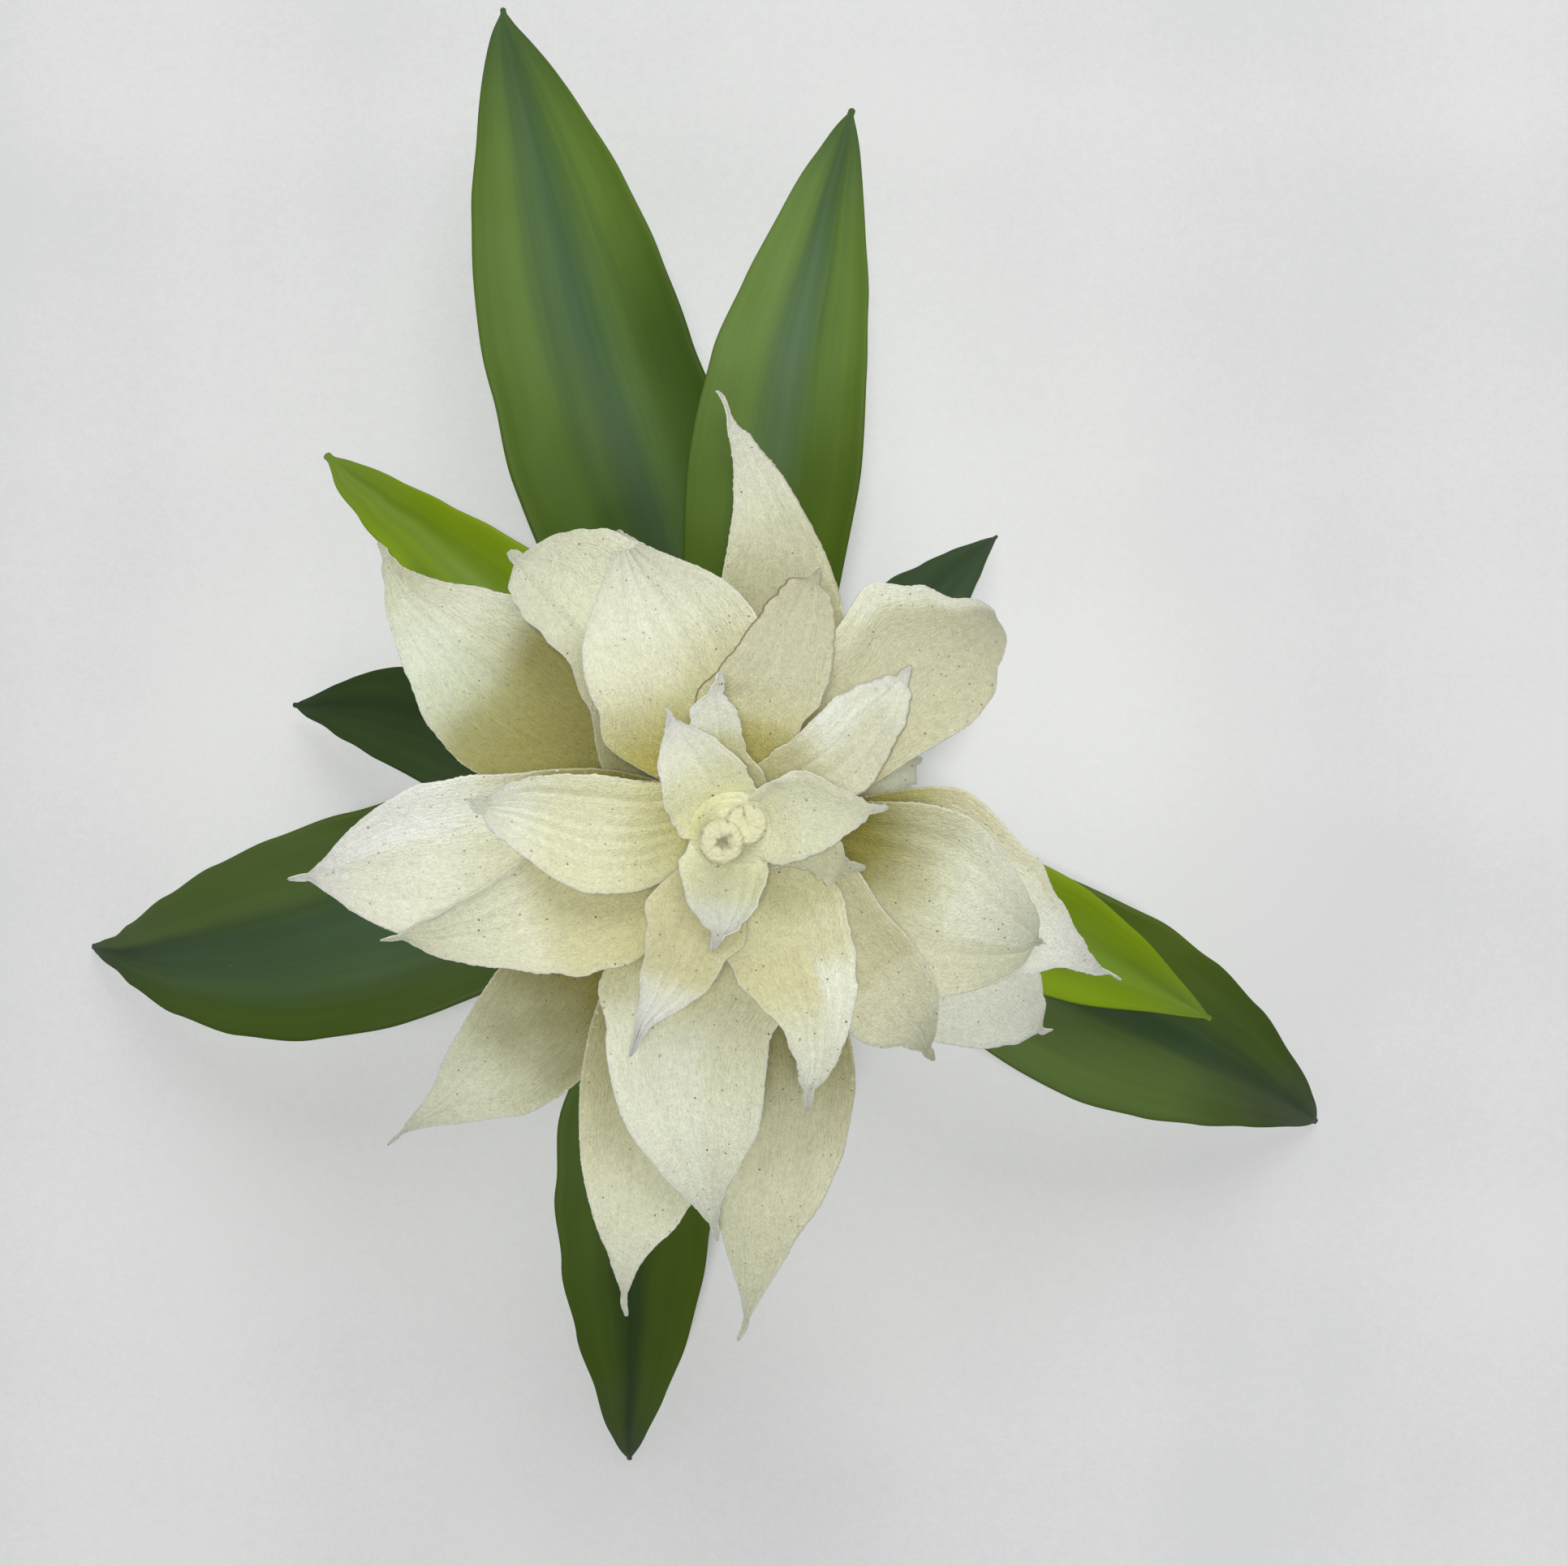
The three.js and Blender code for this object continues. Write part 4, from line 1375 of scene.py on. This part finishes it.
            girth=shares(15, 100, 50, 93, 60, 87, 70, 86, 80, 99, 85, 123, 90, 175, 95, 166, 100, 67),
            sway=table(10, 0, 40, 2.5, 50, 2.5, 80, 0.5, 95, 0.8, 100, 0.4),
            ridges=folds((-62, 4, -40, 20, 75), (-38, 4, -45, 22, 80), (-15, 4, -50, 20, 85),
                (10, 4, -45, 22, 82), (33, 4, -40, 25, 78), (58, 5, -30, 25, 70)),
            tinges=patches_of_tint_and_light((ROOT_YELLOW_AND_GLOW, 55, 10, 62)), stains=(Stain(-1, 0.12, 0.34, 0.85),)),
        bract("front", 292, 59, -22, -24,
            girth=shares(10, 100, 30, 120, 50, 96, 60, 80, 70, 68, 80, 72, 85, 83, 90, 118, 95, 134),
            sway=table(5, 0, 40, 2.1, 50, 2.3, 70, 3.7, 80, 2.9, 95, 0.5),
            ridges=folds((-5, 5, -40, 50, 97), (25, 5, -35, 50, 92), (-35, 5, -30, 45, 88),
                (60, 5, 30, 30, 70)),
            tinges=patches_of_tint_and_light((ROOT_CREAM_AND_SHADE, 85, 20, 62, -120, 15), (ROOT_CREAM_AND_SHADE, 70, 20, 46, 15, 120, 12),
                (GLOW, 90, -10, 30), (PAINTED_HIGHLIGHT, 50, 75, 100))),
    )),
    Whorl(186, 18, 62, (
        bract("back", 94, 30, 0, 0,
            girth=shares(20, 100, 30, 90, 50, 63, 60, 59, 70, 68, 80, 106, 87, 145, 95, 120),
            sway=table(25, 0, 50, 2, 60, 2.2, 70, 2, 80, 2.4, 85, 1.8, 90, 1.1, 95, 0.5),
            ridges=folds((-20, 8, -30, 30, 85)), tinges=patches_of_tint_and_light((ROOT_CREAM_AND_SHADE, 80, 0, 50), (TIP_HIGHLIGHT_AND_PALE_FLAP, 40, 80, 100))),
        bract("front", 247, 48, -20, 0, rise=56,
            girth=shares(15, 100, 40, 125, 50, 95, 60, 82, 80, 62, 85, 61, 90, 100),
            sway=table(10, 0, 50, 0.5, 60, 1.1, 70, 0.4, 85, -1.1, 90, -1.1),
            ridges=folds((10, 9, 50, 30, 95), (-25, 6, -35, 40, 90), (45, 5, -30, 35, 80)),
            tinges=patches_of_tint_and_light((ROOT_CREAM_AND_SHADE, 85, 0, 60), (TIP_HIGHLIGHT_AND_PALE_FLAP, 70, 74, 100, -100, 100, 15))),
        bract("right", 341, 25, -10, 0,
            girth=shares(20, 100, 30, 85, 50, 62, 60, 60, 70, 68, 80, 124, 90, 170, 95, 150),
            sway=table(20, 0, 40, 2.4, 60, 2.4, 70, 0.6, 80, -0.3, 90, 0.1, 95, 0.3),
            tinges=patches_of_tint_and_light((PAINTED_SHADE, 80, 30, 95)), spur_bend=0.8),
    )),
    Whorl(195, 19, 70, (
        bract("back", 118, 26, -28, 0,
            girth=shares(10, 161, 20, 126, 30, 108, 60, 72, 70, 65, 80, 70, 85, 117, 90, 80, 95, 65),
            sway=table(0, 0, 20, 0.9, 50, 0.6, 85, 0.6, 95, 0.2), cup=table(20, 6, 55, 14, 90, 4),
            ridges=folds((-20, 5, -25, 30, 85)),
            tinges=patches_of_tint_and_light((GLOW, 75, 0, 50, -100, 100, 30), (TIP_HIGHLIGHT_AND_PALE_FLAP, 50, 62, 100, -100, 100, 25))),
        bract("right", 8, 30, -20, 0,
            girth=shares(20, 110, 40, 97, 50, 87, 60, 73, 70, 63, 80, 73, 85, 111, 90, 92, 95, 92),
            sway=table(20, 0.1, 50, 1.3, 70, 0.6, 100, 0.1),
            ridges=folds((30, 3.5, -25, 35, 85), (5, 3.5, -20, 40, 90)),
            lips=(Lip(1, 0.16, 0.36, 2.4, 0.4),),
            tinges=patches_of_tint_and_light((GLOW, 60, 0, 34), (PAINTED_SHADE, 45, 45, 80), (TIP_HIGHLIGHT_AND_PALE_FLAP, 90, 12, 36, 70, 120, 8))),
        bract("front", 261, 22, -25, 0,
            girth=shares(10, 137, 20, 115, 60, 77, 70, 74, 80, 104, 85, 148, 95, 123),
            sway=table(0, 0, 30, -0.3, 60, 0.3, 80, 0.9, 100, 0),
            ridges=folds((45, 5, -35, 25, 80), (-10, 5, -20, 30, 85)), lips=(Lip(1, 0.3, 0.85, 1.2, 0.35),),
            tinges=patches_of_tint_and_light((GLOW, 95, 0, 45, -100, 100, 25), (TIP_HIGHLIGHT_AND_PALE_FLAP, 40, 70, 100))),
    )),
)

# The top whorl's web, which rises to the foot of the buds.
TOP_WEB = ((2.4, 205.7), (3.6, 204.9), (4.6, 203.0), (5.8, 201.0), (7.2, 199.3), (9.0, 198.2))


@dataclass(kw_only=True)
class Web:
    """The collar that joins the roots of one whorl's bracts round the spike."""

    name: str
    profile: Table  # radius and height, from the spike outwards
    # How much painted shade it has, as its whorl's bracts.
    age: float
    shade_at: float = 0.08  # the place along a bract whose colour, painted root shade included, it takes
    # How strong the painted glow at its root is.
    glow: float = 0.5
    thickness: float = 0.9
    rows: int = 10
    columns: int = 120

    def build(self) -> bpy.types.Object:
        """Bends a grid round the spike and joins its two sides.

        Returns:
            The finished piece, without a material.
        """
        first, last = self.profile[0][0], self.profile[-1][0]
        sheet = Sheet(self.rows, self.columns)
        for vert in sheet.grid.verts:
            t = (vert.co.x + 1) / 2
            around = (vert.co.y + 1) * math.pi
            end = last + 0.25 * ripple_round(around, 3, last) + 0.15 * ripple_round(around, 12, last)
            radius = mix(first, end, t)
            height = along_table(self.profile, mix(first, last, t))
            point = Vector((radius * math.cos(around), radius * math.sin(around), height))
            place = (self.shade_at + 12 * MM * point.x, 0.5 + 30 * MM * point.y)
            sheet.lay(vert, point, place, end - radius, firm=1.2)
            # Painted glow on the web, fading on the lower whorls.
            vert[sheet.tinge] = (*GLOW, self.glow * (1 - self.age))
        return sheet.finish(self.name, last, self.age, self.thickness, thin=0.4, ring=True)


@dataclass
class BractHead:
    """The whorls of bracts, from the bottom of the head to the top, and the web of each."""

    whorls: tuple[Whorl, ...] = WHORLS
    largest_clasp: float = 56.0
    seam: float = 2.0
    unshaded_from: int = 7  # the first whorl without painted shade for its depth in the head

    def build(self, finish: Material) -> None:
        """Builds every bract, and the webs that join them.

        Args:
            finish: The bracts' material.
        """
        for number, whorl in enumerate(self.whorls, start=1):
            for row in whorl.bracts:
                piece = self.bract_of(number, whorl, row)
                settle(piece.build(), finish, piece.node)
            web = self.web_of(number, whorl)
            settle(web.build(), finish, f"bract_{number}_{whorl.bracts[0]['side']}")

    def clasp_in(self, whorl: Whorl, row: Row) -> float:
        """Half the angle that a bract's root takes round the stem.

        Args:
            whorl: Its whorl.
            row: What is its own.

        Returns:
            The half angle, in degrees.
        """
        others = [other["azimuth"] - row["azimuth"] for other in whorl.bracts if other is not row]
        gap = min(abs((turn + 180) % 360 - 180) for turn in others)
        return min(self.largest_clasp, (gap - self.seam) / 2)

    def bract_of(self, number: int, whorl: Whorl, row: Row) -> Bract:
        """Sets out one bract.

        Args:
            number: Its whorl's number, from the lowest up.
            whorl: Its whorl.
            row: What is its own.

        Returns:
            The bract.
        """
        own = {"height": whorl.height, "width": whorl.width, "rise": whorl.rise} | row
        # Painted shade, deeper on the lower whorls, unless the bract gives its own.
        own.setdefault("age", 1 - number / self.unshaded_from)
        side = own.pop("side")
        taper = own.pop("taper")
        length = own["length"]
        outline = Outline(
            widest=0.55, fullness=1.9, taper=taper, spur=SPUR_LENGTH / length, spur_root=0.9, spur_tip=0.4
        )
        rows = max(80, round(2.2 * length))
        clasp = self.clasp_in(whorl, row)
        return Bract(node=f"bract_{number}_{side}", clasp=clasp, outline=outline, rows=rows, **own)

    def web_of(self, number: int, whorl: Whorl) -> Web:
        """Sets out the web of a whorl.

        Args:
            number: The whorl's number, from the lowest up.
            whorl: The whorl.

        Returns:
            The web.
        """
        name = f"web_{number}"
        # The web's painted shade, as its whorl's.
        age = max(0.0, 1 - number / self.unshaded_from)
        if number == len(self.whorls):
            return Web(name=name, profile=TOP_WEB, age=age, shade_at=0.29, glow=0.45)
        start = Stem.radius_at(whorl.height) - 0.1
        profile = ((start, whorl.height - 0.8), (start + 4.4, whorl.height + 3.9))
        return Web(name=name, profile=profile, age=age)


@dataclass
class BudPair:
    """Two closed buds on the tip of the spike, grown together along their flanks."""

    base: float = 206.3
    waist: float = 0.8
    # Each bud's x, y, height and radius. The first one has the star mark.
    buds: tuple[tuple[float, float, float, float], ...] = ((-1.6, -1.9, 12.0, 4.3), (3.0, 1.3, 10.8, 4.0))
    voxel: float = 0.22  # of the fused skin, in millimetres

    def profile(self, height: float, radius: float) -> Table:
        """Half a bud's outline.

        Args:
            height: The bud's height.
            radius: Its greatest radius.

        Returns:
            Each point's distance from the bud's axis, and its height above the base.
        """
        foot = self.waist * radius
        return (
            (0.0, 0.0), (foot, 0.0), (foot + 0.25, 0.4), (0.92 * radius, 0.38 * height),
            (0.98 * radius, 0.66 * height), (radius, 0.86 * height), (0.97 * radius, 0.945 * height),
            (0.84 * radius, 0.985 * height), (0.5 * radius, height), (0.2 * radius, 0.985 * height),
            (0.0, 0.975 * height),
        )

    def fused(self) -> bmesh.types.BMesh:
        """Spins the two buds and fuses them.

        Returns:
            The even skin of both.
        """
        rods = bmesh.new()
        for x, y, height, radius in self.buds:
            shape = self.profile(height, radius)
            chain = [rods.verts.new(((x + r) * MM, y * MM, (self.base + z) * MM)) for r, z in shape]
            edges = [rods.edges.new(pair) for pair in zip(chain, chain[1:])]
            bmesh.ops.spin(
                rods, geom=chain + edges, cent=(x * MM, y * MM, 0), axis=(0, 0, 1), angle=math.tau,
                steps=48, use_merge=True, use_duplicate=False,
            )
        bmesh.ops.remove_doubles(rods, verts=rods.verts, dist=MERGE)
        bmesh.ops.recalc_face_normals(rods, faces=rods.faces)
        rough = piece_from(rods, "bud_pair_rough")
        fuse = rough.modifiers.new("Fuse", "REMESH")
        fuse.mode = "VOXEL"
        fuse.voxel_size = self.voxel * MM
        ready = rough.evaluated_get(bpy.context.evaluated_depsgraph_get())
        skin = bmesh.new()
        skin.from_mesh(bpy.data.meshes.new_from_object(ready))
        bpy.data.objects.remove(rough)
        axes = {"use_axis_x": True, "use_axis_y": True, "use_axis_z": True}
        bmesh.ops.smooth_vert(skin, verts=skin.verts, factor=0.5, **axes)
        skin.normal_update()
        return skin

    def marks(self, x: float, y: float, z: float) -> tuple[float, float, float, float]:
        """What the skin shows at a point.

        Args:
            x: The point's x, in millimetres, as the others.
            y: Its y.
            z: Its z.

        Returns:
            The shares of crown, grey and mottle, and how far the skin stands out there.
        """
        reaches = [math.hypot(x - at_x, y - at_y) / radius for at_x, at_y, _, radius in self.buds]
        reach = min(reaches)
        nearest = reaches.index(reach)
        at_x, at_y, height, radius = self.buds[nearest]
        crown = smooth((z - self.base) / height, 0.88, 0.95)
        turn = math.atan2(y - at_y, x - at_x)
        blot = 0.46 + 0.3 * ripple_round(turn, 1.9, 7.0) + 0.06 * math.cos(5 * turn + 0.8)
        star = 1 - smooth(math.hypot(x - at_x - 0.5, y - at_y) / radius / blot, 0.0, 1.5)
        rim = smooth(reach, 0.7, 0.95) * smooth(ripple_round(turn, 3.2, 2.0 + nearest), -0.5, 0.6)
        rim *= smooth(math.cos(turn - 2.3), -0.3, 0.5)
        creases = 1 - smooth(abs(math.sin(1.5 * turn + 0.5)) * reach, 0.02, 0.09)
        if nearest == 0:
            grey = crown * (1 - smooth(reach, 0.35, 0.9)) * 0.9
            mark = 0.95 * star
        else:
            grey = 0.1 * crown
            mark = 0.45 * creases * (1 - rim)
        pits = 0.16 * crown * ripple(x * 1.6, y * 1.6, 4.0) + 0.08 * ripple(x * 3.9, y * 3.9, z * 2.0)
        return crown, grey, crown * max(mark, 0.75 * rim), pits - 0.2 * crown * creases - 0.08

    def build(self, finish: Material) -> None:
        """Works the fused skin's crowns.

        Args:
            finish: The bud skin.
        """
        skin = self.fused()
        layers = [skin.verts.layers.float.new(label) for label in ("crown", "grey", "mottle")]
        for vert in skin.verts:
            *shown, lift = self.marks(*(vert.co / MM))
            for layer, value in zip(layers, shown):
                vert[layer] = value
            vert.co += vert.normal * lift * MM
        for face in skin.faces:
            face.smooth = True
        settle(piece_from(skin, "bud_pair_skin"), finish, "bud_pair")


# ---- Studio ----


@dataclass
class Studio:
    """The pale floor, the soft lights and the camera straight above."""

    floor_side: float = 6.0
    floor_drop: float = 0.0002  # below the stem's foot
    camera_at: tuple[float, float, float] = (0.010, 0.009, 0.550)
    field_of_view: float = 47.0
    sky: float = 0.2
    sky_colour: Colour = (0.99, 1.0, 0.99)
    # Each lamp's name, place, side in metres and power in watts.
    lamps: tuple[tuple[str, tuple[float, float, float], float, float], ...] = (
        ("Overhead softbox", (0.03, 0.05, 3.0), 0.45, 51.0),
        ("Window softbox", (0.35, 1.85, 1.9), 1.7, 28.0),
    )
    aim: tuple[float, float, float] = (0.0, 0.0, 0.1)

    def build(self, floor: Material) -> None:
        """Sets the floor, lights and camera.

        Args:
            floor: The floor's material.
        """
        sheet = bmesh.new()
        bmesh.ops.create_grid(sheet, x_segments=1, y_segments=1, size=self.floor_side / 2)
        bmesh.ops.translate(sheet, verts=sheet.verts, vec=(0, 0, -self.floor_drop))
        ground = piece_from(sheet, "floor")
        ground.data.materials.append(floor)
        for name, place, side, power in self.lamps:
            self._lamp(name, place, side, power)
        self._surround()
        self._camera()

    def _lamp(self, name: str, place: tuple[float, float, float], side: float, power: float) -> None:
        """Adds one square area light that faces the plant.

        Args:
            name: Its name.
            place: Where it hangs, in metres.
            side: The length of its side, in metres.
            power: Its power in watts.
        """
        light = bpy.data.lights.new(name, "AREA")
        light.shape = "SQUARE"
        light.size = side
        light.energy = power
        lamp = bpy.data.objects.new(name, light)
        lamp.location = place
        lamp.rotation_euler = (Vector(self.aim) - Vector(place)).to_track_quat("-Z", "Y").to_euler()
        bpy.context.scene.collection.objects.link(lamp)

    def _surround(self) -> None:
        """Sets the soft light from all round."""
        world = bpy.data.worlds.new("Soft surround")
        world.use_nodes = True
        inputs = world.node_tree.nodes["Background"].inputs
        inputs["Color"].default_value = (*self.sky_colour, 1.0)
        inputs["Strength"].default_value = self.sky
        bpy.context.scene.world = world
        bpy.context.scene.view_settings.view_transform = "Standard"

    def _camera(self) -> None:
        """Hangs the camera straight above the head."""
        lens = bpy.data.cameras.new("Camera")
        lens.angle = math.radians(self.field_of_view)
        lens.clip_start = 0.01
        lens.clip_end = 20.0
        camera = bpy.data.objects.new("Camera", lens)
        camera.location = self.camera_at
        bpy.context.scene.collection.objects.link(camera)
        bpy.context.scene.camera = camera


def main() -> None:
    """Builds the plant's sub-assemblies in order, then the studio."""
    logging.basicConfig(level=logging.INFO, format="%(name)s: %(message)s")
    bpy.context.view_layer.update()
    effects = Effects()
    Stem().build(StockFinish().material(effects))
    LeafRosette().build(effects)
    BractHead().build(BractFinish().material(effects))
    BudPair().build(BudFinish().material(effects))
    Studio().build(FloorFinish().material(effects))


if __name__ == "__main__":
    main()
